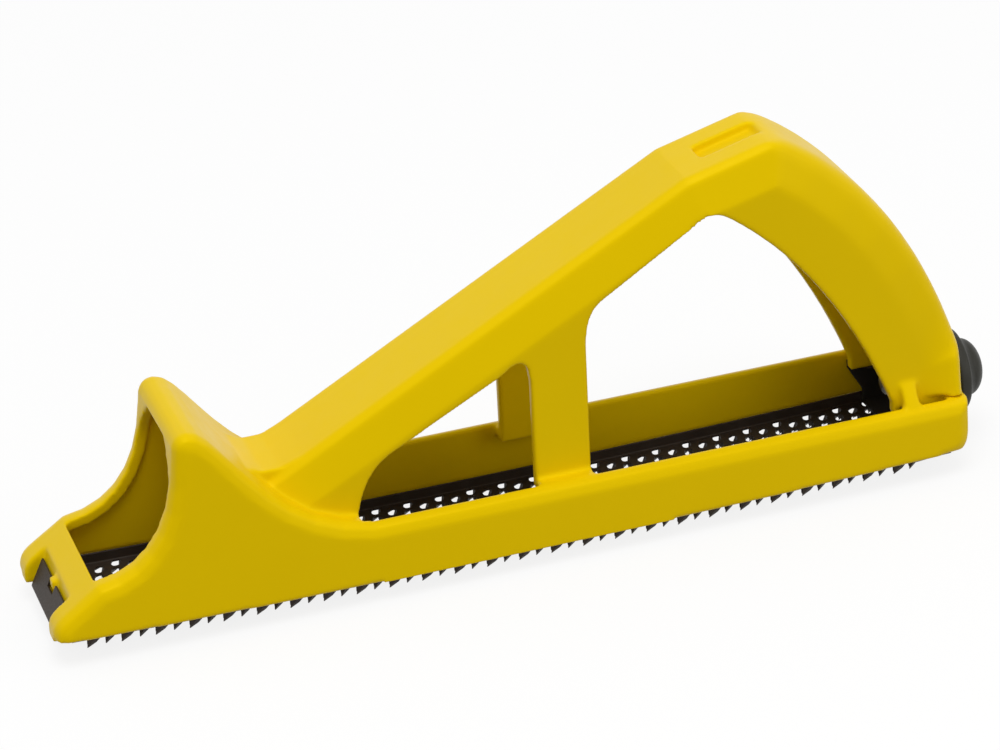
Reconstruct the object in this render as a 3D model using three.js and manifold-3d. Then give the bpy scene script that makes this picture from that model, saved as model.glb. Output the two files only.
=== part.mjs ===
// Perforated-blade plane: a hollow moulded body with a horn and a loop handle over a toothed steel blade.
// Millimetres, +X from the nose to the heel, +Z up, +Y to the far side.
// Stations are lengths from the nose tip, and heights are above the top of the blade's bed at mid-length.

import * as THREE from 'three';
import { mergeVertices } from 'three/addons/utils/BufferGeometryUtils.js';
import Module from 'manifold-3d';

const wasm = await Module();
wasm.setup();

// Clearances and cutting
const seatGap = 0.3;            // between pieces that touch
const runningGap = 0.35;        // around the turning screw
const overrun = 12;             // how far a cut runs past the face it opens
const curveStep = 5.5;          // length of a segment in a curved stretch of an outline
const leastSteps = 4;           // segments in the shortest curve
const holeSteps = 8;            // segments round half a hole
const bowSteps = 16;            // segments along the bowed sole
const roundSteps = 2;           // segments in each rounded edge
const turnSteps = 24;           // segments round a turned piece
const keepShare = 0.98;         // least distance kept by an inset outline, as a share

// Body moulding: sole, walls and nose
const bodyLength = 240.6;
const bodyWidth = 44.3;         // across the walls at bed height
const soleHeight = 1.8;         // underside of the walls
const soleBow = 1.9;            // how far the ends of the sole rise above its middle
const wallTopHeight = 17.4;
const wallThickness = 3.9;
const wallDraftShare = 0.07;    // inward lean of each side per height
const skinThickness = 3;
const shellEdgeRadius = 3.2;
const noseTipHeight = 7.4;
const noseTipRadius = 2.6;
const barTopStation = 12;
const barTopHeight = 15.8;
const heelCornerRadius = 6.5;

// Horn and saddle
const hornFrontStation = 33.3;
const hornPeakStation = 37.6;
const hornPeakHeight = 50.6;
const hornPeakRadius = 5.4;
const hornScoopStation = 31;     // where the front of the horn turns up from the nose
const hornScoopHeight = 17.4;
const swoopShoulderStation = 45.5;
const swoopLowStation = 53.2;
const swoopLowHeight = 21;
const swoopEndStation = 81.4;
const scoopRimWidth = 7.15;     // from the opening in the horn to the side of the body
const scoopCornerHeight = 34;
const scoopTopHeight = 47;

// Handle
const ledgeWidth = 7.55;        // from the side of the body to the side of the handle
const handleWall = 2.8;
const handleEdgeRadius = 3.2;
const handleLean = 3.5;         // how much narrower the handle is at each side of its top
const handleLeanDepth = 10;     // below the top, where the lean of the sides starts
const handleLeanEdge = 1.3;     // flat that breaks the edge of the top
const archLeanFadeShare = 0.75; // how much of the lean is gone at the foot of the arch
const archLeanSteps = 6;
const saddleShoulderStation = 44;
const saddleShoulderHeight = 43.6;
const saddleEntryStation = 49.4;
const saddleEntryHeight = 38.6;
const saddleLowStation = 55.4;
const saddleLowHeight = 28.4;
const handleFootStation = 66.9;
const handleFootHeight = 34.6;
const facetHeelLength = 72.6;    // from the heel forward, as in each name with HeelLength
const facetHeight = 88.9;
const apexHeelLength = 48.1;
const apexHeight = 95.4;
const apexRadius = 4;
const archCrownHeelLength = 14.2;
const archCrownHeight = 74;
const archFootHeight = 30;

// Windows through the handle
const frontWindowStation = 78.6;
const frontWindowKneeStation = 87.5;
const frontWindowKneeHeight = 32.6;
const frontWindowPeakHeight = 51.6;
const frontWindowCornerRadius = 3.6;
const strutShare = 0.3228;       // where the strut stands between the ends of the windows
const strutWidth = 14.7;
const gripWindowCornerHeight = 57;
const gripWindowShoulderLength = 4.2;  // from the strut to the shoulder of the window
const gripWindowShoulderHeight = 62.6;
const gripWindowPeakShare = 0.4146;    // where the peak stands between the strut and the arch
const gripWindowPeakHeight = 80.8;
const gripWindowPeakRadius = 5;
const gripArchCrownHeelLength = 35.4;
const gripArchCrownHeight = 58;
const archLegHeelLength = 19.2;

// Slot in the flat at the top of the handle
const slotLength = 16;
const slotWidth = 6.4;
const slotDepth = 2.2;
const slotEndLength = 1.6;       // from the end of the slot to the apex

// Ribs beside the foot of the arch
const ribHeelLength = 17.4;
const ribWidth = 4.2;
const ribRise = 8;
const heelBlockWidth = 5.2;

// Blade
const bladeThickness = 0.5;
const bladeCover = 4.05;         // from the side of the body to the side of the blade
const bladeStation = 4.4;
const bladeEndGap = 0.5;        // between the rear lip and the inside of the heel
const flangeHeight = 2.7;
const columnWeb = 0.47;          // from the teeth of a column to the holes of the next
const firstColumnStation = 11.3;
const rowPitch = 3.97;
const rowMargin = 0.1;           // from the outermost hole to the flange
const rowSkewShare = 0.232;      // how far a column runs rearward per width
const columnArc = 0.12;          // keeps three holes of a column off one straight line
const holeLength = 2.2;
const holeWidth = 3;
const holeShear = 0.4;
const columnGap = 0.25;          // from the front of the holes to the edge of their strip
const toothLength = 1.58;
const toothDepth = 3;
const rearLipHeight = 6;

// Bent front end of the blade, in its recess
const tabSideGap = 6.1;          // from the side of the blade to the side of its bent ends
const tabHeight = 8.9;
const tabFoldStation = 0.9;
const tabLean = 3.6;             // how far the top of the tab stands behind its fold
const tabNotchWidth = 4.4;
const tabNotchDepth = 2.4;
const recessTopStation = 6.1;
const nibWidth = 3;

// Tension clamp, screw and knob
const screwHeight = 15.5;
const screwRadius = 3;
const screwLength = 20.4;
const grooveShare = 0.8;         // radius at the clip's groove
const clampThickness = 1.2;
const clampHeight = 12.2;
const clampTongueHalfWidth = 8;
const clampTongueHeight = 22;
const clampBaseLength = 9;
const clampHornLength = 13.4;
const clampHornHeight = 15.6;
const nutWidth = 11;
const nutThickness = 4.4;
const clipRadius = 5;
const clipThickness = 0.8;
const clipGap = 0.3;
const washerRadius = 7.5;
const washerThickness = 0.8;
const knobFlangeRadius = 11.4;
const knobFlangeThickness = 3.4;
const knobNeckRadius = 8.8;
const knobDomeRadius = 7.6;
const knobLength = 10.2;
const knobStepRadius = 1.2;

// Sizes that follow
const tipDepth = bladeThickness + toothDepth;
const bladeWidth = bodyWidth - 2 * bladeCover;
const knobStation = bodyLength + seatGap + washerThickness + seatGap;
const overallLength = knobStation + knobLength;
const bladeEnd = bodyLength - wallThickness - bladeEndGap;
const clampFaceStation = bladeEnd - bladeThickness - seatGap;
const flangeInner = bladeWidth / 2 - bladeThickness;
const trayHalfWidth = bodyWidth / 2 - wallThickness;
const scoopHalfWidth = bodyWidth / 2 - scoopRimWidth;
const handleHalfWidth = bodyWidth / 2 - ledgeWidth;
const clampHalfWidth = handleHalfWidth + seatGap + clampThickness;
const tabHalfWidth = bladeWidth / 2 - tabSideGap;
const facetStation = bodyLength - facetHeelLength;
const apexStation = bodyLength - apexHeelLength;
const archCrownStation = bodyLength - archCrownHeelLength;
const archLegStation = bodyLength - archLegHeelLength;
const strutStation = frontWindowStation + (archLegStation - frontWindowStation) * strutShare;
const strutEndStation = strutStation + strutWidth;
const gripWindowPeakStation = strutEndStation + (archLegStation - strutEndStation) * gripWindowPeakShare;
const columnPitch = holeLength + toothLength + columnWeb;
const columnMargin = holeLength / 2 + columnGap;
const firstColumnEdge = firstColumnStation - columnMargin;
const columnCount = Math.floor((bladeEnd - rowSkewShare * flangeInner - firstColumnEdge) / columnPitch);
const rowCount = 1 + Math.floor(2 * (flangeInner - holeWidth / 2 - rowMargin) / rowPitch);

/** Height that the bowed sole and blade gain at a station. */
function bow(station) {
  const fromMiddle = station / (bodyLength / 2) - 1;
  return soleBow * fromMiddle * fromMiddle;
}

/** A closed manifold solid from a geometry. */
function solid(geometry) {
  const bare = geometry.clone();
  bare.deleteAttribute('normal');
  bare.deleteAttribute('uv');
  const merged = mergeVertices(bare);
  return solidFrom(merged.attributes.position.array, merged.index.array);
}

/** A closed manifold solid from positions and triangles that share their vertices. */
function solidFrom(positions, triangles) {
  const mesh = new wasm.Mesh({
    numProp: 3,
    vertProperties: new Float32Array(positions),
    triVerts: new Uint32Array(triangles),
  });
  return new wasm.Manifold(mesh);
}

/** A geometry from a manifold solid. */
function geometryOf(manifold) {
  const mesh = manifold.getMesh();
  const geometry = new THREE.BufferGeometry();
  geometry.setAttribute('position', new THREE.BufferAttribute(new Float32Array(mesh.vertProperties), 3));
  geometry.setIndex(new THREE.BufferAttribute(new Uint32Array(mesh.triVerts), 1));
  geometry.computeVertexNormals();
  return geometry;
}

/** Moves each point of a chain to its right by an inset; a closed chain wraps round. */
function insetPoints(points, inset, closed) {
  const last = points.length - 1;
  return points.map((point, i) => {
    const before = i > 0 ? points[i - 1] : points[closed ? last : 0];
    const after = i < last ? points[i + 1] : points[closed ? 0 : last];
    const incoming = (before === point ? after.clone().sub(point) : point.clone().sub(before)).normalize();
    const outgoing = (after === point ? point.clone().sub(before) : after.clone().sub(point)).normalize();
    const bisector = incoming.clone().add(outgoing).normalize();
    const stretch = inset / Math.max(bisector.dot(incoming), 0.5);
    return new THREE.Vector2(point.x + bisector.y * stretch, point.y - bisector.x * stretch);
  });
}

/** The chain one skin thickness inside another, without the points that crossed over. */
function skinChain(points) {
  const inner = insetPoints(points, skinThickness, false)
    .filter((point) => points.every((other) => point.distanceTo(other) > skinThickness * keepShare));
  return spaced(inner, seatGap);
}

/** Extrudes a side outline across the width, with rounded edges and a lean of its sides. */
function prism(points, halfWidth, radius = 0, draftShare = 0) {
  const outline = THREE.ShapeUtils.isClockWise(points) ? points : points.slice().reverse();
  const near = [];
  const steps = radius > 0 ? roundSteps : 0;
  for (let i = 0; i <= steps; i += 1) {
    const angle = steps > 0 ? Math.PI / 2 * i / steps : 0;
    const across = halfWidth - radius + radius * Math.cos(angle);
    near.push({ inset: radius * (1 - Math.sin(angle)), across: -across });
  }
  const far = near.slice().reverse().map((ring) => ({ inset: ring.inset, across: -ring.across }));
  const rings = radius > 0 ? near.concat(far) : [near[0], far[0]];
  const positions = [];
  for (const ring of rings) {
    for (const point of insetPoints(outline, ring.inset, true)) {
      positions.push(point.x, ring.across * (1 - draftShare * point.y / halfWidth), point.y);
    }
  }
  const triangles = [];
  const count = outline.length;
  for (let ring = 0; ring < rings.length - 1; ring += 1) {
    for (let i = 0; i < count; i += 1) {
      const a = ring * count + i;
      const b = ring * count + (i + 1) % count;
      triangles.push(a, b, b + count, a, b + count, a + count);
    }
  }
  const farStart = (rings.length - 1) * count;
  for (const [a, b, c] of THREE.ShapeUtils.triangulateShape(outline, [])) {
    const turn = outline[b].clone().sub(outline[a]).cross(outline[c].clone().sub(outline[a]));
    const [first, second, third] = turn > 0 ? [a, b, c] : [a, c, b];
    triangles.push(first, second, third);
    triangles.push(farStart + first, farStart + third, farStart + second);
  }
  return solidFrom(positions, triangles);
}

/** Extrudes a front outline, in Y and Z, along the length. */
function lengthwise(shape, fromStation, toStation) {
  const geometry = new THREE.ExtrudeGeometry(shape, {
    depth: toStation - fromStation,
    bevelEnabled: false,
    curveSegments: holeSteps,
  });
  const turn = new THREE.Matrix4().set(0, 0, 1, fromStation, 1, 0, 0, 0, 0, 1, 0, 0, 0, 0, 0, 1);
  return solid(geometry.applyMatrix4(turn));
}

/** A solid through sections of equal counts of points, whose last point sees all the others. */
function lofted(sections, isClockwise) {
  const count = sections[0].length;
  const positions = sections.flat().flatMap((point) => point.toArray());
  const triangles = [];
  const triangle = (a, b, c) => (isClockwise ? triangles.push(a, b, c) : triangles.push(a, c, b));
  for (let section = 0; section < sections.length - 1; section += 1) {
    for (let i = 0; i < count; i += 1) {
      const a = section * count + i;
      const b = section * count + (i + 1) % count;
      triangle(a, b + count, b);
      triangle(a, a + count, b + count);
    }
  }
  const farStart = (sections.length - 1) * count;
  for (let i = 0; i < count - 2; i += 1) {
    triangle(count - 1, i, i + 1);
    triangle(farStart + count - 1, farStart + i + 1, farStart + i);
  }
  return solidFrom(positions, triangles);
}

/** A rectangle as outline points. */
function rectangle(left, bottom, right, top) {
  return [
    new THREE.Vector2(left, bottom),
    new THREE.Vector2(right, bottom),
    new THREE.Vector2(right, top),
    new THREE.Vector2(left, top),
  ];
}

/** A piece revolved about the screw's axis, from a profile of radius and station. */
function turned(profile) {
  const geometry = new THREE.LatheGeometry(profile, turnSteps);
  geometry.rotateZ(-Math.PI / 2);
  geometry.translate(0, 0, screwHeight);
  return geometry;
}

/** The points that lie further than a least step from the one before. */
function spaced(points, leastStep) {
  return points.filter((point, i) => i === 0 || point.distanceTo(points[i - 1]) > leastStep);
}

/** Points of a path without repeats, with more of them on its longer curves. */
function pointsOf(path) {
  const points = path.curves.flatMap((curve) => {
    const curvedSteps = Math.max(leastSteps, Math.round(curve.getLength() / curveStep));
    return curve.getPoints(curve.isLineCurve ? 1 : curvedSteps);
  });
  return spaced(points, seatGap / 10);
}

/** Upper outline of the walls, nose and horn, from the nose's foot to the heel's foot. */
function shellChain() {
  const path = new THREE.Path();
  const slope = (barTopHeight - noseTipHeight) / barTopStation;
  path.moveTo(0, -overrun);
  path.lineTo(0, noseTipHeight - noseTipRadius);
  path.quadraticCurveTo(0, noseTipHeight, noseTipRadius, noseTipHeight + noseTipRadius * slope);
  path.lineTo(barTopStation, barTopHeight);
  path.quadraticCurveTo(
    hornScoopStation, hornScoopHeight,
    hornFrontStation, hornPeakHeight - hornPeakRadius,
  );
  path.quadraticCurveTo(hornFrontStation, hornPeakHeight, hornPeakStation, hornPeakHeight);
  path.bezierCurveTo(
    swoopShoulderStation, hornPeakHeight,
    swoopLowStation, swoopLowHeight,
    swoopEndStation, wallTopHeight,
  );
  path.lineTo(bodyLength, wallTopHeight);
  path.lineTo(bodyLength, soleHeight + heelCornerRadius);
  path.quadraticCurveTo(bodyLength, soleHeight, bodyLength - heelCornerRadius, soleHeight);
  path.lineTo(bodyLength - heelCornerRadius, -overrun);
  return pointsOf(path);
}

/** Upper outline of the saddle, the handle and its arch. */
function handleChain() {
  const path = new THREE.Path();
  const facetSlope = (apexHeight - facetHeight) / (apexStation - facetStation);
  const archSlope = (apexHeight - archCrownHeight) / (archCrownStation - apexStation);
  path.moveTo(saddleShoulderStation, -overrun);
  path.lineTo(saddleShoulderStation, saddleShoulderHeight);
  path.lineTo(saddleEntryStation, saddleEntryHeight);
  path.quadraticCurveTo(saddleLowStation, saddleLowHeight, handleFootStation, handleFootHeight);
  path.lineTo(facetStation, facetHeight);
  path.lineTo(apexStation - apexRadius, apexHeight - apexRadius * facetSlope);
  path.quadraticCurveTo(
    apexStation, apexHeight,
    apexStation + apexRadius, apexHeight - apexRadius * archSlope,
  );
  path.quadraticCurveTo(archCrownStation, archCrownHeight, bodyLength, archFootHeight);
  path.lineTo(bodyLength, -overrun);
  return pointsOf(path);
}

/** Outline of the small window ahead of the strut. */
function frontWindow() {
  const path = new THREE.Path();
  const rise = (frontWindowPeakHeight - frontWindowKneeHeight) / (strutStation - frontWindowKneeStation);
  const bendStation = frontWindowStation + (frontWindowKneeStation - frontWindowStation) / 4;
  const peakStation = strutStation - frontWindowCornerRadius;
  path.moveTo(frontWindowStation, -overrun);
  path.lineTo(frontWindowStation, wallTopHeight);
  path.quadraticCurveTo(
    bendStation, frontWindowKneeHeight - frontWindowCornerRadius,
    frontWindowKneeStation, frontWindowKneeHeight,
  );
  path.lineTo(
    peakStation - frontWindowCornerRadius,
    frontWindowPeakHeight - 2 * frontWindowCornerRadius * rise,
  );
  path.bezierCurveTo(
    peakStation, frontWindowPeakHeight,
    strutStation, frontWindowPeakHeight,
    strutStation, frontWindowPeakHeight - 2 * frontWindowCornerRadius,
  );
  path.lineTo(strutStation, -overrun);
  return pointsOf(path);
}

/** Outline of the large window for the hand. */
function gripWindow() {
  const path = new THREE.Path();
  const shoulderStation = strutEndStation + gripWindowShoulderLength;
  const rise = (gripWindowPeakHeight - gripWindowShoulderHeight) / (gripWindowPeakStation - shoulderStation);
  path.moveTo(strutEndStation, -overrun);
  path.lineTo(strutEndStation, gripWindowCornerHeight - (gripWindowShoulderHeight - gripWindowCornerHeight));
  path.quadraticCurveTo(
    strutEndStation, gripWindowCornerHeight + (gripWindowShoulderHeight - gripWindowCornerHeight) / 2,
    shoulderStation, gripWindowShoulderHeight,
  );
  path.lineTo(
    gripWindowPeakStation - gripWindowPeakRadius,
    gripWindowPeakHeight - gripWindowPeakRadius * rise,
  );
  path.quadraticCurveTo(
    gripWindowPeakStation, gripWindowPeakHeight + gripWindowPeakRadius / 4,
    gripWindowPeakStation + gripWindowPeakRadius, gripWindowPeakHeight - gripWindowPeakRadius * rise,
  );
  path.quadraticCurveTo(
    bodyLength - gripArchCrownHeelLength, gripArchCrownHeight,
    archLegStation, wallTopHeight,
  );
  path.lineTo(archLegStation, -overrun);
  return pointsOf(path);
}

/** Outline that follows the bow from one station to another, from deep below up to a height. */
function bowedCut(fromStation, toStation, height) {
  const points = [];
  const steps = bowSteps;
  for (let i = 0; i <= steps; i += 1) {
    const station = fromStation + (toStation - fromStation) * i / steps;
    points.push(new THREE.Vector2(station, height + bow(station)));
  }
  points.push(new THREE.Vector2(toStation, -2 * overrun));
  points.push(new THREE.Vector2(fromStation, -2 * overrun));
  return points;
}

/** Front outline of the opening in the horn's front. */
function scoopShape() {
  const bendHeight = (scoopCornerHeight + scoopTopHeight) / 2;
  const shape = new THREE.Shape();
  shape.moveTo(-scoopHalfWidth, -overrun);
  shape.lineTo(scoopHalfWidth, -overrun);
  shape.lineTo(scoopHalfWidth, scoopCornerHeight);
  shape.quadraticCurveTo(scoopHalfWidth, bendHeight, scoopHalfWidth / 2, scoopTopHeight);
  shape.lineTo(-scoopHalfWidth / 2, scoopTopHeight);
  shape.quadraticCurveTo(-scoopHalfWidth, bendHeight, -scoopHalfWidth, scoopCornerHeight);
  return shape;
}

/** Walls, nose and horn as one shell that is open below and over the tray. */
function shellSolid(handleCavity) {
  const outline = shellChain();
  const outer = prism(outline, bodyWidth / 2, shellEdgeRadius, wallDraftShare);
  const behindBar = prism(
    rectangle(barTopStation, -2 * overrun, bodyLength - wallThickness, hornPeakHeight),
    trayHalfWidth, 0, wallDraftShare,
  );
  const cavity = prism(skinChain(outline), trayHalfWidth, 0, wallDraftShare).intersect(behindBar);
  const trayTop = wallTopHeight + overrun;
  const frontTray = rectangle(frontWindowStation, -overrun, strutStation, trayTop);
  const rearTray = rectangle(strutEndStation, -overrun, bodyLength - heelBlockWidth, trayTop);
  const betweenStruts = rectangle(strutStation, -overrun, strutEndStation, trayTop);
  const shell = outer
    .subtract(cavity)
    .subtract(prism(frontTray, trayHalfWidth, 0, wallDraftShare))
    .subtract(prism(rearTray, trayHalfWidth, 0, wallDraftShare))
    .subtract(prism(betweenStruts, handleHalfWidth - handleWall))
    .subtract(handleCavity);
  return { cavity, shell };
}

/** A rib on each side between the foot of the arch and the wall. */
function ribs() {
  const inner = handleHalfWidth - handleWall / 2;
  const outer = bodyWidth / 2 - wallThickness / 2 - wallDraftShare * wallTopHeight;
  const front = bodyLength - ribHeelLength;
  const parts = [-1, 1].map((side) => {
    const shape = new THREE.Shape();
    shape.moveTo(side * inner, clampHornHeight + 2 * seatGap);
    shape.lineTo(side * outer, clampHornHeight + 2 * seatGap);
    shape.lineTo(side * outer, wallTopHeight - seatGap);
    shape.lineTo(side * inner, wallTopHeight + ribRise);
    return lengthwise(shape, front, front + ribWidth);
  });
  return parts[0].add(parts[1]);
}

/** The shallow recess for the blade's bent end, in the slope of the nose. */
function noseRecess() {
  const slope = (barTopHeight - noseTipHeight) / barTopStation;
  const floorTop = new THREE.Vector2(
    tabFoldStation + tabLean + bladeThickness + 2 * seatGap,
    tabHeight + seatGap,
  );
  const outline = [
    new THREE.Vector2(-overrun, -overrun),
    new THREE.Vector2(tabFoldStation + bladeThickness + 2 * seatGap, -overrun),
    new THREE.Vector2(tabFoldStation + bladeThickness + 2 * seatGap, bladeThickness),
    floorTop,
    new THREE.Vector2(recessTopStation, noseTipHeight + recessTopStation * slope),
    new THREE.Vector2(recessTopStation - noseTipRadius, noseTipHeight + overrun),
    new THREE.Vector2(-overrun, noseTipHeight + overrun),
  ];
  return prism(outline, tabHalfWidth + 2 * seatGap);
}

/** The nib that stands in the notch of the blade's bent end. */
function noseNib() {
  const top = tabHeight - seatGap;
  const station = tabFoldStation + tabLean;
  const shape = new THREE.Shape();
  shape.moveTo(-nibWidth / 2, top - tabNotchDepth / 2);
  shape.lineTo(nibWidth / 2, top - tabNotchDepth / 2);
  shape.lineTo(nibWidth / 2, top + tabNotchDepth / 2);
  shape.lineTo(-nibWidth / 2, top + tabNotchDepth / 2);
  return lengthwise(shape, station - bladeThickness, station + 2 * tabNotchDepth);
}

/** The blind slot in the flat at the top of the handle. */
function topSlot() {
  const slope = (apexHeight - facetHeight) / (apexStation - facetStation);
  const surface = (station) => facetHeight + (station - facetStation) * slope - slotDepth;
  const end = apexStation - slotEndLength;
  const start = end - slotLength;
  return prism([
    new THREE.Vector2(start, surface(start)),
    new THREE.Vector2(end, surface(end)),
    new THREE.Vector2(end, surface(end) + overrun),
    new THREE.Vector2(start, surface(start) + overrun),
  ], slotWidth / 2);
}

/** The hole for the tension screw through the heel. */
function screwHole() {
  const shape = new THREE.Shape();
  shape.absarc(0, screwHeight, screwRadius + runningGap, 0, 2 * Math.PI);
  return lengthwise(shape, bodyLength - overrun, bodyLength + overrun);
}

/** The line along the top of the handle, from the saddle over the apex to the foot of the arch. */
function ridgeLine() {
  const slope = (facetHeight - handleFootHeight) / (facetStation - handleFootStation);
  const footRise = (handleFootStation - saddleEntryStation) * slope;
  const arch = new THREE.QuadraticBezierCurve(
    new THREE.Vector2(apexStation, apexHeight),
    new THREE.Vector2(archCrownStation, archCrownHeight),
    new THREE.Vector2(bodyLength, archFootHeight),
  );
  return [
    new THREE.Vector2(saddleEntryStation, handleFootHeight - footRise),
    new THREE.Vector2(facetStation, facetHeight),
    ...arch.getPoints(archLeanSteps),
  ];
}

/** What the lean of its sides takes off each side of a handle of some half width. */
function leanCut(halfWidth) {
  const ridge = ridgeLine();
  const archStart = ridge.length - 1 - archLeanSteps;
  const leans = ridge.map((point, i) => {
    const alongArchShare = Math.max(i - archStart, 0) / archLeanSteps;
    return handleLean * (1 - archLeanFadeShare * alongArchShare);
  });
  const flats = leans.map((lean) => halfWidth - lean - handleLeanEdge);
  const edges = leans.map((lean) => halfWidth - lean * (1 - handleLeanEdge / handleLeanDepth));
  const outside = ridge.map(() => halfWidth + overrun);
  const levels = [
    { depth: -2 * overrun, across: flats },
    { depth: 0, across: flats },
    { depth: handleLeanEdge, across: edges },
    { depth: handleLeanDepth, across: ridge.map(() => halfWidth) },
    { depth: handleLeanDepth, across: outside },
    { depth: -2 * overrun, across: outside },
  ];
  const lines = levels.map((level) => insetPoints(ridge, level.depth, false));
  const section = (side, i) => levels.map((level, k) => (
    new THREE.Vector3(lines[k][i].x, side * level.across[i], lines[k][i].y)
  ));
  const cuts = [-1, 1].map((side) => lofted(ridge.map((point, i) => section(side, i)), side < 0));
  return cuts[0].add(cuts[1]);
}

/** The whole body moulding. */
function bodyMoulding() {
  const outline = handleChain();
  const handleOuter = prism(outline, handleHalfWidth, handleEdgeRadius).subtract(leanCut(handleHalfWidth));
  const innerHalfWidth = handleHalfWidth - handleWall;
  const handleCavity = prism(skinChain(outline), innerHalfWidth).subtract(leanCut(innerHalfWidth));
  const { shell, cavity } = shellSolid(handleCavity);
  const through = bodyWidth / 2 + overrun;
  const clampRoom = rectangle(strutEndStation, -2 * overrun, bodyLength - wallThickness, clampHeight);
  const handle = handleOuter
    .subtract(handleCavity)
    .subtract(cavity)
    .subtract(prism(frontWindow(), through))
    .subtract(prism(gripWindow(), through));
  const flangeSlot = prism(
    bowedCut(bladeStation - seatGap, bladeEnd + seatGap, flangeHeight + seatGap), bladeWidth / 2 + seatGap,
  ).subtract(prism(bowedCut(-overrun, barTopStation, 2 * overrun), flangeInner - seatGap));
  const bedCut = prism(bowedCut(-overrun, bodyLength - wallThickness, seatGap), bladeWidth / 2 + seatGap);
  const soleCut = prism(bowedCut(-overrun, bodyLength + overrun, soleHeight), through)
    .subtract(prism(bowedCut(-2 * overrun, bodyLength - wallThickness, overrun), flangeInner - seatGap));
  return shell
    .add(handle)
    .subtract(prism(clampRoom, trayHalfWidth, 0, wallDraftShare))
    .add(ribs())
    .subtract(lengthwise(scoopShape(), barTopStation, hornPeakStation - hornPeakRadius / 4))
    .subtract(noseRecess())
    .add(noseNib())
    .subtract(topSlot())
    .subtract(screwHole())
    .subtract(flangeSlot)
    .subtract(bedCut)
    .subtract(soleCut);
}

/** Collects vertices and triangles of a closed mesh. */
class MeshBuilder {
  constructor() {
    this.positions = [];
    this.triangles = [];
  }

  /** Adds a point of the bowed blade and gives its index. */
  point(station, across, height) {
    this.positions.push(station, across, height + bow(station));
    return this.positions.length / 3 - 1;
  }

  /** Adds a triangle. */
  triangle(a, b, c) {
    this.triangles.push(a, b, c);
  }

  /** Adds a quad as two triangles. */
  quad(a, b, c, d) {
    this.triangle(a, b, c);
    this.triangle(a, c, d);
  }

  /** Fills a flat outline with holes, facing up or down. */
  fill(outline, outlineIndices, holes, holeIndices, facesUp) {
    const faces = THREE.ShapeUtils.triangulateShape(outline, holes);
    const flat = outline.concat(...holes);
    const indices = outlineIndices.concat(...holeIndices);
    for (const [a, b, c] of faces) {
      const turn = flat[b].clone().sub(flat[a]).cross(flat[c].clone().sub(flat[a]));
      const upward = turn > 0;
      if (upward === facesUp) this.triangle(indices[a], indices[b], indices[c]);
      else this.triangle(indices[a], indices[c], indices[b]);
    }
  }
}

/** Corners of a hole about its centre, counter-clockwise, the last two on its rear edge. */
function holeCorners(station, across) {
  const front = station - holeLength / 2;
  const rear = station + holeLength / 2;
  return [
    new THREE.Vector2(front + holeShear / 2, across + holeWidth / 2),
    new THREE.Vector2(front - holeShear / 2, across - holeWidth / 2 + holeShear),
    new THREE.Vector2(rear - holeShear / 2, across - holeWidth / 2),
    new THREE.Vector2(rear + holeShear / 2, across + holeWidth / 2 - holeShear),
  ];
}

/** Centres of the holes of one column. */
function columnCentres(column) {
  const centres = [];
  const rows = rowCount - column % 2;
  const outermost = (rows - 1) * rowPitch / 2;
  for (let row = 0; row < rows; row += 1) {
    const across = outermost - row * rowPitch;
    const arc = columnArc * (across / outermost) ** 2;
    const middle = firstColumnStation + column * columnPitch;
    centres.push(new THREE.Vector2(middle + rowSkewShare * across + arc, across));
  }
  return centres;
}

/** The line across the blade ahead of a column, as its stations at the near and far edges. */
function columnEdge(column) {
  const middle = firstColumnStation + column * columnPitch - columnMargin;
  return [middle - rowSkewShare * flangeInner, middle + rowSkewShare * flangeInner];
}

/** The blade's channel with its holes and teeth. */
function bladeChannel() {
  const builder = new MeshBuilder();
  const outer = bladeWidth / 2;
  const edges = [[bladeStation, bladeStation]];
  for (let column = 0; column <= columnCount; column += 1) edges.push(columnEdge(column));
  edges.push([bladeEnd, bladeEnd]);
  const rails = edges.map((stations) => stations.map((station, i) => {
    const side = i === 0 ? -1 : 1;
    return {
      station,
      top: builder.point(station, side * flangeInner, 0),
      rimInner: builder.point(station, side * flangeInner, flangeHeight),
      rimOuter: builder.point(station, side * outer, flangeHeight),
      bottom: builder.point(station, side * outer, -bladeThickness),
    };
  }));
  for (let i = 0; i < rails.length - 1; i += 1) {
    const [nearStart, farStart] = rails[i];
    const [nearEnd, farEnd] = rails[i + 1];
    // Near flange, then far flange
    builder.quad(nearStart.bottom, nearEnd.bottom, nearEnd.rimOuter, nearStart.rimOuter);
    builder.quad(nearStart.rimOuter, nearEnd.rimOuter, nearEnd.rimInner, nearStart.rimInner);
    builder.quad(nearStart.rimInner, nearEnd.rimInner, nearEnd.top, nearStart.top);
    builder.quad(farStart.top, farEnd.top, farEnd.rimInner, farStart.rimInner);
    builder.quad(farStart.rimInner, farEnd.rimInner, farEnd.rimOuter, farStart.rimOuter);
    builder.quad(farStart.rimOuter, farEnd.rimOuter, farEnd.bottom, farStart.bottom);
    const isPlain = i === 0 || i === rails.length - 2;
    addRegion(builder, nearStart, nearEnd, farEnd, farStart, isPlain ? [] : columnCentres(i - 1));
  }
  const [nearFirst, farFirst] = rails[0];
  const [nearLast, farLast] = rails[rails.length - 1];
  addChannelEnd(builder, nearFirst, farFirst, false);
  addChannelEnd(builder, nearLast, farLast, true);
  return solidFrom(builder.positions, builder.triangles);
}

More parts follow.
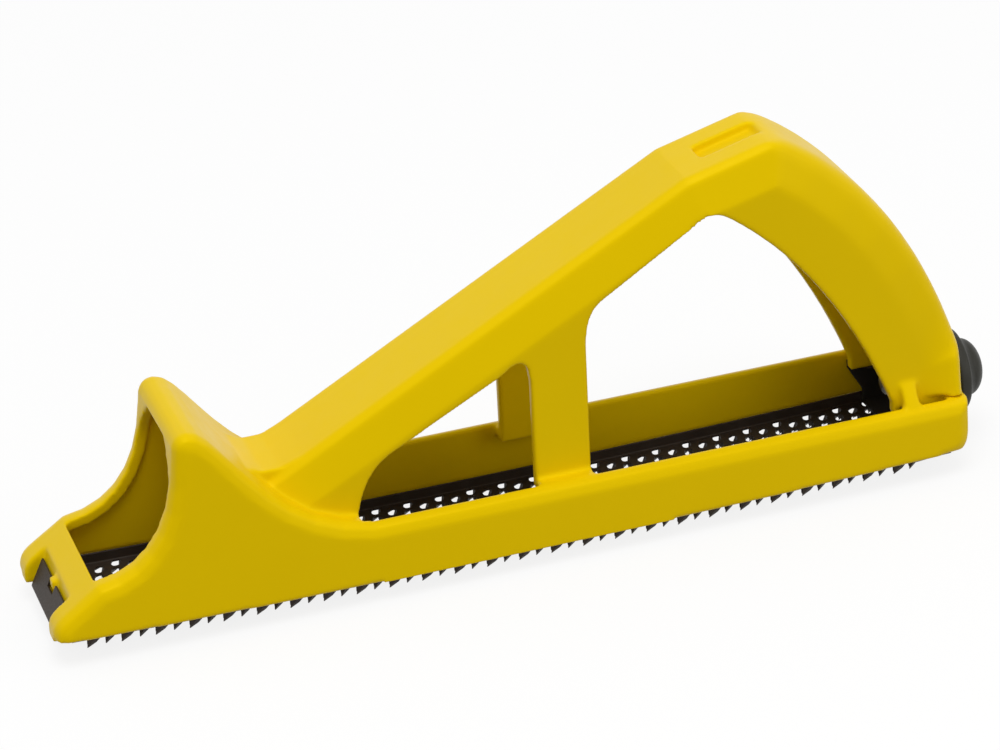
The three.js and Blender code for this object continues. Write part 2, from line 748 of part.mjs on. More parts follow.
/** One strip of the bed, with its holes and the teeth behind them. */
function addRegion(builder, nearStart, nearEnd, farEnd, farStart, centres) {
  const corners = [nearStart, nearEnd, farEnd, farStart];
  const halves = [-flangeInner, -flangeInner, flangeInner, flangeInner];
  const outline = corners.map((corner, i) => new THREE.Vector2(corner.station, halves[i]));
  const topHoles = [];
  const topIndices = [];
  const bottomHoles = [];
  const bottomIndices = [];
  for (const centre of centres) {
    const hole = holeCorners(centre.x, centre.y);
    const above = hole.map((corner) => builder.point(corner.x, corner.y, 0));
    const below = hole.map((corner) => builder.point(corner.x, corner.y, -bladeThickness));
    for (let i = 0; i < hole.length; i += 1) {
      const next = (i + 1) % hole.length;
      builder.quad(above[i], above[next], below[next], below[i]);
    }
    const rear = centre.x + holeLength / 2;
    const root = new THREE.Vector2(rear + toothLength, centre.y - holeShear / 2);
    const rootIndex = builder.point(root.x, root.y, -bladeThickness);
    const tipIndex = builder.point(rear - holeShear, root.y, -tipDepth);
    const [, , nearRear, farRear] = below;
    builder.triangle(nearRear, farRear, tipIndex);
    builder.triangle(rootIndex, nearRear, tipIndex);
    builder.triangle(farRear, rootIndex, tipIndex);
    topHoles.push(hole);
    topIndices.push(above);
    bottomHoles.push([hole[0], hole[1], hole[2], root, hole[3]]);
    bottomIndices.push([below[0], below[1], below[2], rootIndex, below[3]]);
  }
  builder.fill(outline, corners.map((corner) => corner.top), topHoles, topIndices, true);
  builder.fill(outline, corners.map((corner) => corner.bottom), bottomHoles, bottomIndices, false);
}

/** Closes one end of the channel. */
function addChannelEnd(builder, near, far, facesHeel) {
  const faces = [
    [near.bottom, near.rimOuter, near.rimInner, near.top],
    [near.bottom, near.top, far.top, far.bottom],
    [far.bottom, far.top, far.rimInner, far.rimOuter],
  ];
  for (const [a, b, c, d] of faces) {
    if (facesHeel) builder.quad(d, c, b, a);
    else builder.quad(a, b, c, d);
  }
}

/** The blade's bent front end, with its notch. */
function bladeTab() {
  const start = bladeStation + bladeThickness;
  const floor = bow(bladeStation);
  const rise = floor + bladeThickness;
  const strip = prism([
    new THREE.Vector2(start, floor),
    new THREE.Vector2(tabFoldStation + bladeThickness, floor),
    new THREE.Vector2(tabFoldStation + bladeThickness, rise),
    new THREE.Vector2(tabFoldStation + bladeThickness + tabLean, tabHeight),
    new THREE.Vector2(tabFoldStation + tabLean, tabHeight + bladeThickness / 2),
    new THREE.Vector2(tabFoldStation, rise),
    new THREE.Vector2(tabFoldStation, floor),
    new THREE.Vector2(tabFoldStation + bladeThickness, floor - bladeThickness),
    new THREE.Vector2(start, floor - bladeThickness),
  ].reverse(), tabHalfWidth);
  const notchFloor = tabHeight - tabNotchDepth;
  const notch = prism(rectangle(-overrun, notchFloor, barTopStation, tabHeight + overrun), tabNotchWidth / 2);
  return strip.subtract(notch);
}

/** The blade: channel, bent front end and rear lip. */
function blade() {
  const lipFloor = bow(bladeEnd) - bladeThickness;
  const lip = prism(
    rectangle(bladeEnd - bladeThickness, lipFloor, bladeEnd, bow(bladeEnd) + rearLipHeight), tabHalfWidth,
  );
  return bladeChannel().add(bladeTab()).add(lip);
}

/** The clamp that draws the blade's rear lip back: base, back plate with its tongue, and two horned ears. */
function tensionClamp() {
  const face = clampFaceStation;
  const floor = seatGap + bow(face);
  const front = face - clampBaseLength;
  const baseFloor = seatGap + Math.max(bow(front), bow(face));
  const base = prism(rectangle(front, baseFloor, face, baseFloor + clampThickness), clampHalfWidth);
  const back = new THREE.Shape();
  back.moveTo(-clampHalfWidth, floor);
  back.lineTo(clampHalfWidth, floor);
  back.lineTo(clampHalfWidth, clampHeight);
  back.lineTo(clampTongueHalfWidth, clampHeight);
  back.lineTo(clampTongueHalfWidth, clampTongueHeight);
  back.lineTo(-clampTongueHalfWidth, clampTongueHeight);
  back.lineTo(-clampTongueHalfWidth, clampHeight);
  back.lineTo(-clampHalfWidth, clampHeight);
  const hole = new THREE.Path();
  hole.absarc(0, screwHeight, screwRadius + runningGap, 0, 2 * Math.PI);
  back.holes.push(hole);
  const ear = [
    new THREE.Vector2(front, baseFloor),
    new THREE.Vector2(face, baseFloor),
    new THREE.Vector2(face, clampHeight),
    new THREE.Vector2(front + clampThickness, clampHeight),
    new THREE.Vector2(face - clampHornLength, clampHornHeight),
    new THREE.Vector2(face - clampHornLength, clampHeight + clampThickness),
    new THREE.Vector2(front, clampHeight / 2),
  ];
  const ears = prism(ear, clampHalfWidth).subtract(prism(rectangle(
    front - overrun, -overrun, bodyLength, clampHornHeight + overrun,
  ), clampHalfWidth - clampThickness));
  return base.add(lengthwise(back, face - clampThickness, face)).add(ears);
}

/** The nut on the clamp's tongue. */
function clampNut() {
  const rear = clampFaceStation - clampThickness - seatGap;
  const shape = new THREE.Shape();
  const corner = nutWidth / Math.sqrt(3);
  for (let i = 0; i < 6; i += 1) {
    const angle = Math.PI / 3 * i;
    const across = corner * Math.cos(angle);
    const height = screwHeight + corner * Math.sin(angle);
    if (i === 0) shape.moveTo(across, height);
    else shape.lineTo(across, height);
  }
  const bore = new THREE.Path();
  bore.absarc(0, screwHeight, screwRadius + seatGap, 0, 2 * Math.PI);
  shape.holes.push(bore);
  return lengthwise(shape, rear - nutThickness, rear);
}

/** The tension screw, from ahead of the nut to inside the knob. */
function tensionScrew() {
  const end = knobStation + knobFlangeThickness;
  const groove = clipStation();
  const neck = screwRadius * grooveShare;
  return turned([
    new THREE.Vector2(0, end - screwLength),
    new THREE.Vector2(screwRadius, end - screwLength),
    new THREE.Vector2(screwRadius, groove - seatGap),
    new THREE.Vector2(neck, groove - seatGap),
    new THREE.Vector2(neck, groove + clipThickness + seatGap),
    new THREE.Vector2(screwRadius, groove + clipThickness + seatGap),
    new THREE.Vector2(screwRadius, end),
    new THREE.Vector2(0, end),
  ]);
}

/** Station of the clip's front face. */
function clipStation() {
  return bodyLength - wallThickness - clipGap - clipThickness;
}

/** A ring about the screw's axis. */
function ring(innerRadius, outerRadius, station, thickness) {
  return turned([
    new THREE.Vector2(innerRadius, station),
    new THREE.Vector2(outerRadius, station),
    new THREE.Vector2(outerRadius, station + thickness),
    new THREE.Vector2(innerRadius, station + thickness),
    new THREE.Vector2(innerRadius, station),
  ]);
}

/** The clip that sits in the screw's groove. */
function retainingClip() {
  return ring(screwRadius * grooveShare + seatGap / 2, clipRadius, clipStation(), clipThickness);
}

/** The washer between the heel and the knob. */
function thrustWasher() {
  return ring(screwRadius + runningGap, washerRadius, bodyLength + seatGap, washerThickness);
}

/** The knob: a flange, a step and a domed grip, bored for the screw. */
function tensionKnob() {
  const bore = screwRadius + seatGap;
  const boreEnd = knobStation + knobFlangeThickness + seatGap;
  const flangeTop = knobStation + knobFlangeThickness;
  const outline = new THREE.Path();
  outline.moveTo(0, boreEnd);
  outline.lineTo(bore, boreEnd);
  outline.lineTo(bore, knobStation);
  outline.lineTo(knobFlangeRadius - knobStepRadius, knobStation);
  outline.lineTo(knobFlangeRadius, knobStation + knobStepRadius);
  outline.lineTo(knobFlangeRadius, flangeTop - knobStepRadius);
  outline.lineTo(knobFlangeRadius - knobStepRadius, flangeTop);
  outline.lineTo(knobNeckRadius, flangeTop + knobStepRadius / 2);
  outline.lineTo(knobDomeRadius, flangeTop + 2 * knobStepRadius);
  outline.quadraticCurveTo(
    knobDomeRadius, knobStation + knobLength,
    0, knobStation + knobLength,
  );
  return turned(pointsOf(outline));
}

const yellow = new THREE.MeshStandardMaterial({ color: 0xe3be00, roughness: 0.42, metalness: 0 });
const blueSteel = new THREE.MeshStandardMaterial({ color: 0x23211f, roughness: 0.38, metalness: 0.85 });
const blackPlastic = new THREE.MeshStandardMaterial({ color: 0x20201d, roughness: 0.5, metalness: 0 });
const plainSteel = new THREE.MeshStandardMaterial({ color: 0x9a9a96, roughness: 0.35, metalness: 0.9 });

/** A named mesh. */
function piece(name, geometry, material) {
  const mesh = new THREE.Mesh(geometry, material);
  mesh.name = name;
  return mesh;
}

const plane = new THREE.Group();
plane.add(
  piece('body_moulding', geometryOf(bodyMoulding()), yellow),
  piece('blade', geometryOf(blade()), blueSteel),
  piece('tension_clamp', geometryOf(tensionClamp()), blueSteel),
  piece('clamp_nut', geometryOf(clampNut()), plainSteel),
  piece('tension_screw', tensionScrew(), plainSteel),
  piece('retaining_clip', retainingClip(), plainSteel),
  piece('thrust_washer', thrustWasher(), plainSteel),
  piece('knob', tensionKnob(), blackPlastic),
);
plane.position.set(-overallLength / 2, 0, tipDepth);

export default plane;
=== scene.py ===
"""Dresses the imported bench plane: moulded body, toothed blade, tension clamp and knob."""

import logging
import math
from dataclasses import dataclass, field
from enum import Enum
from typing import Any, Callable, Optional

import bmesh
import bpy
from mathutils import Matrix, Vector
from mathutils.geometry import tessellate_polygon
from mathutils.kdtree import KDTree


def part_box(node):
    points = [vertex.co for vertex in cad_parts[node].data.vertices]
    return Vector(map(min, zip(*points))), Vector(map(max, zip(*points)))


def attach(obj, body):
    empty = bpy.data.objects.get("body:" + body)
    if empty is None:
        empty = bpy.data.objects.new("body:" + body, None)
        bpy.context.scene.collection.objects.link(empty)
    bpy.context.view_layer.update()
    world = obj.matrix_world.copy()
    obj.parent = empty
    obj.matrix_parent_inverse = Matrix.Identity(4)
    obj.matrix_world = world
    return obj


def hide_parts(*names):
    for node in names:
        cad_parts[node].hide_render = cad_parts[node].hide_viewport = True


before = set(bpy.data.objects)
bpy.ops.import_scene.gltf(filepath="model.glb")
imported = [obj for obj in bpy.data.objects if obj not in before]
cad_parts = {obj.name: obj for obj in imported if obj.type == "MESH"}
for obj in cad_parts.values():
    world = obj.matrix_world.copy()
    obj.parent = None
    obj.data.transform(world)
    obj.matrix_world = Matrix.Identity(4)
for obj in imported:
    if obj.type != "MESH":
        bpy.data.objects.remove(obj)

MM = 0.001
TURN = 2 * math.pi
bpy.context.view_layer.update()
LOG = logging.getLogger("bench_plane")

MERGE_DISTANCE = MM / 1000
NOISE_LOW = 0.3   # nearly all values of a noise texture lie between these two
NOISE_HIGH = 0.7

Settings = dict[Any, Any]
Links = dict[Any, bpy.types.NodeSocket]
Point = tuple[float, float]


class Slot(Enum):
    """The record's material slots."""

    YELLOW_PLASTIC = "yellow_plastic"
    DARK_STEEL = "dark_steel"
    PLAIN_STEEL = "plain_steel"
    BLACK_PLASTIC = "black_plastic"


class Body(Enum):
    """The bodies that pieces ride on."""

    BODY = "body"
    KNOB = "knob"
    CLAMP = "clamp"


def linear(colour: str) -> tuple[float, float, float, float]:
    """Turns an sRGB hex colour to linear.

    Args:
        colour: six hex digits after a hash sign.

    Returns:
        Linear red, green, blue and an alpha of 1.
    """
    parts = [int(colour[i:i + 2], 16) / 255 for i in (1, 3, 5)]
    red, green, blue = (
        part / 12.92 if part <= 0.04045 else ((part + 0.055) / 1.055) ** 2.4 for part in parts
    )
    return red, green, blue, 1.0


def add_node(
    tree: bpy.types.NodeTree,
    kind: str,
    settings: Optional[Settings] = None,
    links: Optional[Links] = None,
) -> bpy.types.Node:
    """Adds one node to a tree.

    Args:
        tree: the node tree.
        kind: Blender's name of the node type.
        settings: values of the node's properties or of its inputs, by name or index.
        links: sockets to link to its inputs, by name or index.

    Returns:
        The new node.
    """
    node = tree.nodes.new(kind)
    for name, value in (settings or {}).items():
        if isinstance(name, str) and hasattr(node, name):
            setattr(node, name, value)
        else:
            node.inputs[name].default_value = value
    for name, socket in (links or {}).items():
        tree.links.new(socket, node.inputs[name])
    return node


def new_material(name: str) -> tuple[bpy.types.Material, bpy.types.NodeTree]:
    """Makes an empty node material.

    Args:
        name: the material's name.

    Returns:
        The material and its node tree.
    """
    material = bpy.data.materials.new(name)
    material.use_nodes = True
    material.node_tree.nodes.clear()
    return material, material.node_tree


def spread(middle: float, swing: float) -> Settings:
    """Gives the range that a noise is mapped to: as far below the middle as above it.

    Args:
        middle: the value in the middle.
        swing: how far the value goes to either side.

    Returns:
        The settings of a map range.
    """
    return {
        "From Min": NOISE_LOW, "From Max": NOISE_HIGH,
        "To Min": middle - swing, "To Max": middle + swing,
    }


@dataclass(frozen=True)
class Noise:
    """A noise pattern: its size, its number of octaves and how strong the finer ones are."""

    size_mm: float
    octaves: float
    fineness: float

    def settings(self) -> Settings:
        """Settings of the noise texture."""
        scale = 1 / (self.size_mm * MM)
        return {"Scale": scale, "Detail": self.octaves, "Roughness": self.fineness}


@dataclass(frozen=True)
class MouldedPlastic:
    """Injection-moulded ABS: an even satin skin, with the fine grain of a spark-eroded mould."""

    name: str
    colour: str
    shade: str
    roughness: float
    roughness_swing: float = 0.06
    ior: float = 1.53            # ABS
    gloss_share: float = 0.3     # a satin mould scatters most of the gloss
    gloss_tint: str = "#ffffff"
    grain: Noise = Noise(0.9, 4.0, 0.6)  # the real grain is finer; drawn coarser so that it shows
    grain_height_mm: float = 0.012
    grain_strength: float = 0.5
    flow: Noise = Noise(34.0, 3.0, 0.5)  # slow change of shade where the melt flowed
    scuff: Noise = Noise(5.0, 8.0, 0.7)  # handling dulls some spots and polishes others

    def build(self) -> bpy.types.Material:
        """Makes the material.

        Returns:
            The material.
        """
        material, tree = new_material(self.name)
        place = {"Vector": add_node(tree, "ShaderNodeTexCoord").outputs["Object"]}
        flow = add_node(tree, "ShaderNodeTexNoise", self.flow.settings(), place)
        settings = {"data_type": "RGBA", 6: linear(self.colour), 7: linear(self.shade)}
        colour = add_node(tree, "ShaderNodeMix", settings, {0: flow.outputs["Fac"]})
        scuff = add_node(tree, "ShaderNodeTexNoise", self.scuff.settings(), place)
        settings = spread(self.roughness, self.roughness_swing)
        rough = add_node(tree, "ShaderNodeMapRange", settings, {"Value": scuff.outputs["Fac"]})
        grain = add_node(tree, "ShaderNodeTexNoise", self.grain.settings(), place)
        settings = {"Strength": self.grain_strength, "Distance": self.grain_height_mm * MM}
        bump = add_node(tree, "ShaderNodeBump", settings, {"Height": grain.outputs["Fac"]})
        settings = {
            "IOR": self.ior, "Metallic": 0.0, "Specular IOR Level": self.gloss_share,
            "Specular Tint": linear(self.gloss_tint),
        }
        links = {
            "Base Color": colour.outputs[2], "Roughness": rough.outputs["Result"],
            "Normal": bump.outputs["Normal"],
        }
        shader = add_node(tree, "ShaderNodeBsdfPrincipled", settings, links)
        add_node(tree, "ShaderNodeOutputMaterial", links={"Surface": shader.outputs["BSDF"]})
        return material


@dataclass(frozen=True)
class BlackOxideSteel:
    """Hardened strip steel with a dull black oxide finish, rubbed brighter where it cuts."""

    name: str
    colour: str
    bloom: str
    worn: str
    metallic: float = 0.1         # the oxide hides most of the metal
    gloss_share: float = 0.25
    roughness: float = 0.55
    roughness_swing: float = 0.08
    cloud: Noise = Noise(9.0, 5.0, 0.6)   # cloudy change of shade in the oxide
    lines: Noise = Noise(0.45, 3.0, 0.6)  # rolling lines, drawn coarser so that they show
    line_stretch: float = 12.0
    line_height_mm: float = 0.006
    line_strength: float = 0.5
    worn_below_mm: float = 0.0    # surfaces below this height are rubbed; none at zero
    worn_full_share: float = 1 / 3  # of that height; surfaces below it are rubbed bare

    def build(self) -> bpy.types.Material:
        """Makes the material.

        Returns:
            The material.
        """
        material, tree = new_material(self.name)
        place = {"Vector": add_node(tree, "ShaderNodeTexCoord").outputs["Object"]}
        cloud = add_node(tree, "ShaderNodeTexNoise", self.cloud.settings(), place)
        settings = {"data_type": "RGBA", 6: linear(self.colour), 7: linear(self.bloom)}
        colour = add_node(tree, "ShaderNodeMix", settings, {0: cloud.outputs["Fac"]})
        if self.worn_below_mm > 0:
            height = add_node(tree, "ShaderNodeSeparateXYZ", links=place).outputs["Z"]
            top = self.worn_below_mm * MM
            settings = {
                "From Min": top * self.worn_full_share, "From Max": top,
                "To Min": 1.0, "To Max": 0.0,
            }
            wear = add_node(tree, "ShaderNodeMapRange", settings, {"Value": height})
            settings = {"data_type": "RGBA", 7: linear(self.worn)}
            links = {0: wear.outputs["Result"], 6: colour.outputs[2]}
            colour = add_node(tree, "ShaderNodeMix", settings, links)
        settings = {"Scale": (1 / self.line_stretch, 1.0, 1.0)}
        stretched = add_node(tree, "ShaderNodeMapping", settings, place)
        links = {"Vector": stretched.outputs["Vector"]}
        lines = add_node(tree, "ShaderNodeTexNoise", self.lines.settings(), links)
        settings = spread(self.roughness, self.roughness_swing)
        rough = add_node(tree, "ShaderNodeMapRange", settings, {"Value": lines.outputs["Fac"]})
        settings = {"Strength": self.line_strength, "Distance": self.line_height_mm * MM}
        bump = add_node(tree, "ShaderNodeBump", settings, {"Height": lines.outputs["Fac"]})
        settings = {"Metallic": self.metallic, "Specular IOR Level": self.gloss_share}
        links = {
            "Base Color": colour.outputs[2], "Roughness": rough.outputs["Result"],
            "Normal": bump.outputs["Normal"],
        }
        shader = add_node(tree, "ShaderNodeBsdfPrincipled", settings, links)
        add_node(tree, "ShaderNodeOutputMaterial", links={"Surface": shader.outputs["BSDF"]})
        return material


@dataclass(frozen=True)
class ZincPlatedSteel:
    """Turned steel with a bright zinc plate: pale, slightly cloudy, with fine turning marks."""

    name: str
    colour: str = "#b8b7b1"
    shade: str = "#8f8f8b"
    roughness: float = 0.34
    cloud: Noise = Noise(1.6, 4.0, 0.6)
    mark_mm: float = 0.3
    mark_waver: float = 0.6
    mark_octaves: float = 1.0
    mark_height_mm: float = 0.004
    mark_strength: float = 0.4

    def build(self) -> bpy.types.Material:
        """Makes the material.

        Returns:
            The material.
        """
        material, tree = new_material(self.name)
        place = {"Vector": add_node(tree, "ShaderNodeTexCoord").outputs["Object"]}
        cloud = add_node(tree, "ShaderNodeTexNoise", self.cloud.settings(), place)
        settings = {"data_type": "RGBA", 6: linear(self.colour), 7: linear(self.shade)}
        colour = add_node(tree, "ShaderNodeMix", settings, {0: cloud.outputs["Fac"]})
        settings = {
            "wave_type": "BANDS", "bands_direction": "X", "Scale": 1 / (self.mark_mm * MM) / TURN,
            "Distortion": self.mark_waver, "Detail": self.mark_octaves,
        }
        marks = add_node(tree, "ShaderNodeTexWave", settings, place)
        settings = {"Strength": self.mark_strength, "Distance": self.mark_height_mm * MM}
        bump = add_node(tree, "ShaderNodeBump", settings, {"Height": marks.outputs["Fac"]})
        settings = {"Metallic": 1.0, "Roughness": self.roughness}
        links = {"Base Color": colour.outputs[2], "Normal": bump.outputs["Normal"]}
        shader = add_node(tree, "ShaderNodeBsdfPrincipled", settings, links)
        add_node(tree, "ShaderNodeOutputMaterial", links={"Surface": shader.outputs["BSDF"]})
        return material


def link_object(name: str, mesh: bpy.types.Mesh) -> bpy.types.Object:
    """Puts a mesh in the scene as a new object at the origin.

    Args:
        name: the object's name.
        mesh: its mesh.

    Returns:
        The new object.
    """
    piece = bpy.data.objects.new(name, mesh)
    bpy.context.scene.collection.objects.link(piece)
    return piece


def settle(piece: bpy.types.Object, sharp_degrees: Optional[float] = None) -> None:
    """Applies a piece's modifiers and shades it smooth.

    Args:
        piece: the piece.
        sharp_degrees: edges that turn by more than this stay sharp; none does when left out.
    """
    graph = bpy.context.evaluated_depsgraph_get()
    mesh = bpy.data.meshes.new_from_object(piece.evaluated_get(graph))
    piece.modifiers.clear()
    piece.data = mesh
    for polygon in mesh.polygons:
        polygon.use_smooth = True
    if sharp_degrees is not None:
        mesh.set_sharp_from_angle(angle=math.radians(sharp_degrees))


def merged_copy(node: str, name: str) -> bpy.types.Object:
    """Copies a CAD node's mesh into a new piece with its split points merged.

    Args:
        node: the CAD node's name.
        name: the new piece's name.

    Returns:
        The new piece.
    """
    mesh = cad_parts[node].data.copy()
    mesh.materials.clear()
    work = bmesh.new()
    work.from_mesh(mesh)
    bmesh.ops.remove_doubles(work, verts=work.verts, dist=MERGE_DISTANCE)
    work.to_mesh(mesh)
    work.free()
    if "custom_normal" in mesh.attributes:
        mesh.attributes.remove(mesh.attributes["custom_normal"])
    return link_object(name, mesh)


def dress(
    piece: bpy.types.Object,
    material: bpy.types.Material,
    body: Body,
    node: str,
) -> None:
    """Gives a piece its material and body, and hides the CAD node it stands for.

    Args:
        piece: the piece.
        material: its material.
        body: the body it rides on.
        node: the CAD node it stands for.
    """
    piece.data.materials.clear()
    piece.data.materials.append(material)
    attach(piece, body.value)
    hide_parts(node)
    LOG.info("%s stands for %s on %s", piece.name, node, body.value)


def revolved(
    name: str,
    rings: list[Point],
    height: float,
    segments: int,
    radius_at: Optional[Callable[[float, float, float], float]] = None,
) -> bpy.types.Object:
    """Revolves a profile about the screw's axis.

    Args:
        name: the piece's name.
        rings: station and radius of each ring in metres; a radius of zero closes an end.
        height: height of the axis in metres.
        segments: points round each ring.
        radius_at: gives a point's radius from its station, ring radius and angle.

    Returns:
        The new piece.
    """
    work = bmesh.new()
    loops = []
    for station, radius in rings:
        if radius == 0:
            loops.append([work.verts.new((station, 0, height))])
            continue
        loop = []
        for i in range(segments):
            angle = TURN * i / segments
            reach = radius_at(station, radius, angle) if radius_at else radius
            across, rise = reach * math.cos(angle), reach * math.sin(angle)
            loop.append(work.verts.new((station, across, height + rise)))
        loops.append(loop)
    if rings[0][1] > 0:
        loops.append(loops[0])
    for first, second in zip(loops, loops[1:]):
        for i in range(segments):
            after = (i + 1) % segments
            corners = [first[i % len(first)], second[i % len(second)]]
            corners += [second[after % len(second)], first[after % len(first)]]
            work.faces.new(list(dict.fromkeys(corners)))
    bmesh.ops.recalc_face_normals(work, faces=work.faces)
    mesh = bpy.data.meshes.new(name)
    work.to_mesh(mesh)
    work.free()
    return link_object(name, mesh)


def quarter_turn(steps: int) -> list[Point]:
    """Lists the sine and cosine at even steps from nothing to a quarter turn, with both ends."""
    angles = [TURN / 4 * i / steps for i in range(steps + 1)]
    return [(math.sin(angle), math.cos(angle)) for angle in angles]


def bend(start: Vector, corner: Vector, end: Vector, steps: int) -> list[Point]:
    """Lists the points of a curve that rounds a corner.

    Args:
        start: where the curve starts.
        corner: the corner it rounds.
        end: where it ends.
        steps: segments of the curve.

    Returns:
        The curve's points, the start and the end among them.
    """
    shares = [i / steps for i in range(steps + 1)]
    points = [start * (1 - t) ** 2 + corner * 2 * t * (1 - t) + end * t ** 2 for t in shares]
    return [(point.x, point.y) for point in points]


def rounded(rings: list[Point], radius: float, steps: int = 3) -> list[Point]:
    """Rounds the corners of a profile.

    Args:
        rings: station and radius of each corner.
        radius: radius of the rounding.
        steps: segments in each rounding.

    Returns:
        The profile with its inner corners rounded; the two ends stay.
    """
    points = [Vector(ring) for ring in rings]
    result = [rings[0]]
    for before, corner, after in zip(points, points[1:], points[2:]):
        reach = min(radius, (before - corner).length / 2, (after - corner).length / 2)
        start = corner + (before - corner).normalized() * reach
        end = corner + (after - corner).normalized() * reach
        result += bend(start, corner, end, steps)
    result.append(rings[-1])
    return result


def turned_ring(
    name: str, low: Vector, high: Vector, bore_share: float, edge_mm: float, segments: int,
) -> bpy.types.Object:
    """Turns a flat ring that fills a box.

    Args:
        name: the piece's name.
        low: the box's lower corner.
        high: its upper corner.
        bore_share: the bore's share of the outer radius.
        edge_mm: radius of the rounded edges.
        segments: points round each ring.

    Returns:
        The new piece.
    """
    outer = (high.z - low.z) / 2
    inner = outer * bore_share
    rings = [(low.x, inner), (low.x, outer), (high.x, outer), (high.x, inner)]
    piece = revolved(name, rounded(rings, edge_mm * MM), (low.z + high.z) / 2, segments)
    settle(piece)
    return piece


@dataclass
class MouldedBody:
    """The body moulding and the washer seated on its heel."""

    plastic: MouldedPlastic
    metal: ZincPlatedSteel
    voxel_mm: float = 0.5
    smoothing_factor: float = 0.5
    smoothing_passes: int = 8
    shoulder_passes: int = 90
    shoulder_mm: float = 12.0         # depth of the arch's broad rounding below its back
    shoulder_fade_mm: float = 3.0
    arch_start_mm: float = 190.0      # stations from the nose
    arch_foot_mm: float = 30.0        # heights in the frame
    foot_fade_mm: float = 9.0
    flare_start_mm: float = 229.0
    flare_end_mm: float = 240.6
    flare_foot_mm: float = 21.0
    flare_top_mm: float = 48.0
    flare_inner_mm: float = 11.8
    flare_outer_mm: float = 14.2
    flare_limit_mm: float = 15.2      # the walls outside this stay
    flare_mm: float = 5.6
    flare_power: float = 1.5
    kept_share: float = 0.4
    washer_bore_share: float = 0.45
    washer_edge_mm: float = 0.2
    washer_segments: int = 64
    nose: float = field(init=False)   # the nose's place in the frame, in millimetres

    def build(self) -> None:
        """Builds the moulding with soft edges, and the washer."""
        self.build_moulding()
        self.build_washer()

    def build_moulding(self) -> None:
        """Copies the solid, rounds its edges as a mould does, and dresses it."""
        piece = merged_copy("body_moulding", "moulded_body")
        low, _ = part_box("body_moulding")
        self.nose = low.x / MM
        remesh = piece.modifiers.new("skin", "REMESH")
        remesh.mode = "VOXEL"
        remesh.voxel_size = self.voxel_mm * MM
        settle(piece)
        self.mark_shoulders(piece)
        self.flare_heel(piece)
        for group, passes in (("", self.smoothing_passes), ("shoulders", self.shoulder_passes)):
            smooth = piece.modifiers.new("soften", "SMOOTH")
            smooth.factor = self.smoothing_factor
            smooth.iterations = passes
            smooth.vertex_group = group
        thin = piece.modifiers.new("thin_out", "DECIMATE")
        thin.ratio = self.kept_share
        settle(piece)
        dress(piece, self.plastic.build(), Body.BODY, "body_moulding")

    def mark_shoulders(self, piece: bpy.types.Object) -> None:
        """Marks the two sides of the arch's back, which the mould rounds broadly.

        Args:
            piece: the moulding.
        """
        back: dict[int, float] = {}
        vertices = piece.data.vertices
        for vertex in vertices:
            station = round(vertex.co.x / MM - self.nose)
            back[station] = max(back.get(station, 0.0), vertex.co.z / MM)
        line = KDTree(len(back))
        for number, (station, height) in enumerate(back.items()):
            line.insert((station, height, 0), number)
        line.balance()
        group = piece.vertex_groups.new(name="shoulders")
        for vertex in vertices:
            station = vertex.co.x / MM - self.nose
            height = vertex.co.z / MM
            if station < self.arch_start_mm or height < self.arch_foot_mm:
                continue
            depth = line.find((station, height, 0))[2]
            starts = (station - self.arch_start_mm) / self.shoulder_fade_mm
            ends = (self.shoulder_mm - depth) / self.shoulder_fade_mm
            foot = (height - self.arch_foot_mm) / self.foot_fade_mm
            weight = max(0.0, min(1.0, starts, ends, foot))
            if weight > 0:
                group.add([vertex.index], weight, "REPLACE")

    def flare_heel(self, piece: bpy.types.Object) -> None:
        """Spreads the sides of the arch's foot towards the rear wall, where the mould blends them.

        Args:
            piece: the moulding.
        """
        for vertex in piece.data.vertices:
            station = vertex.co.x / MM - self.nose
            height = vertex.co.z / MM
            across = abs(vertex.co.y) / MM
            shares = (
                (station - self.flare_start_mm) / (self.flare_end_mm - self.flare_start_mm),
                (self.flare_top_mm - height) / (self.flare_top_mm - self.flare_foot_mm),
                (across - self.flare_inner_mm) / (self.flare_outer_mm - self.flare_inner_mm),
            )
            if min(shares) <= 0 or height < self.flare_foot_mm or across > self.flare_limit_mm:
                continue
            reach = math.prod(min(1.0, share) ** self.flare_power for share in shares)
            vertex.co.y += math.copysign(self.flare_mm * reach * MM, vertex.co.y)

    def build_washer(self) -> None:
        """Turns the thrust washer."""
        low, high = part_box("thrust_washer")
        piece = turned_ring(
            "heel_washer", low, high,
            self.washer_bore_share, self.washer_edge_mm, self.washer_segments,
        )
        dress(piece, self.metal.build(), Body.BODY, "thrust_washer")


def joined_loops(
    inner: list[Point], outer: list[Point], centre: Point,
) -> list[list[tuple[bool, int]]]:
    """Joins a loop and a wider one round the same centre with triangles.

    Args:
        inner: points of the inner loop, counter-clockwise.
        outer: points of the outer loop, counter-clockwise.
        centre: a point inside both.

    Returns:
        Triangles, each corner told as whether it is on the outer loop and its index there.
    """
    def angles(loop: list[Point]) -> list[tuple[float, int]]:
        """Angle of each point about the centre and its index, smallest angle first."""
        turns = [math.atan2(y - centre[1], x - centre[0]) for x, y in loop]
        return sorted((turn, i) for i, turn in enumerate(turns))

    near, far = angles(inner), angles(outer)
    near.append((near[0][0] + TURN, near[0][1]))
    far.append((far[0][0] + TURN, far[0][1]))
    triangles = []
    i = j = 0
    while i < len(inner) or j < len(outer):
        if j == len(outer) or (i < len(inner) and near[i + 1][0] < far[j + 1][0]):
            triangles.append([(False, near[i][1]), (True, far[j][1]), (False, near[i + 1][1])])
            i += 1
        else:
            triangles.append([(False, near[i][1]), (True, far[j][1]), (True, far[j + 1][1])])
            j += 1
    return triangles


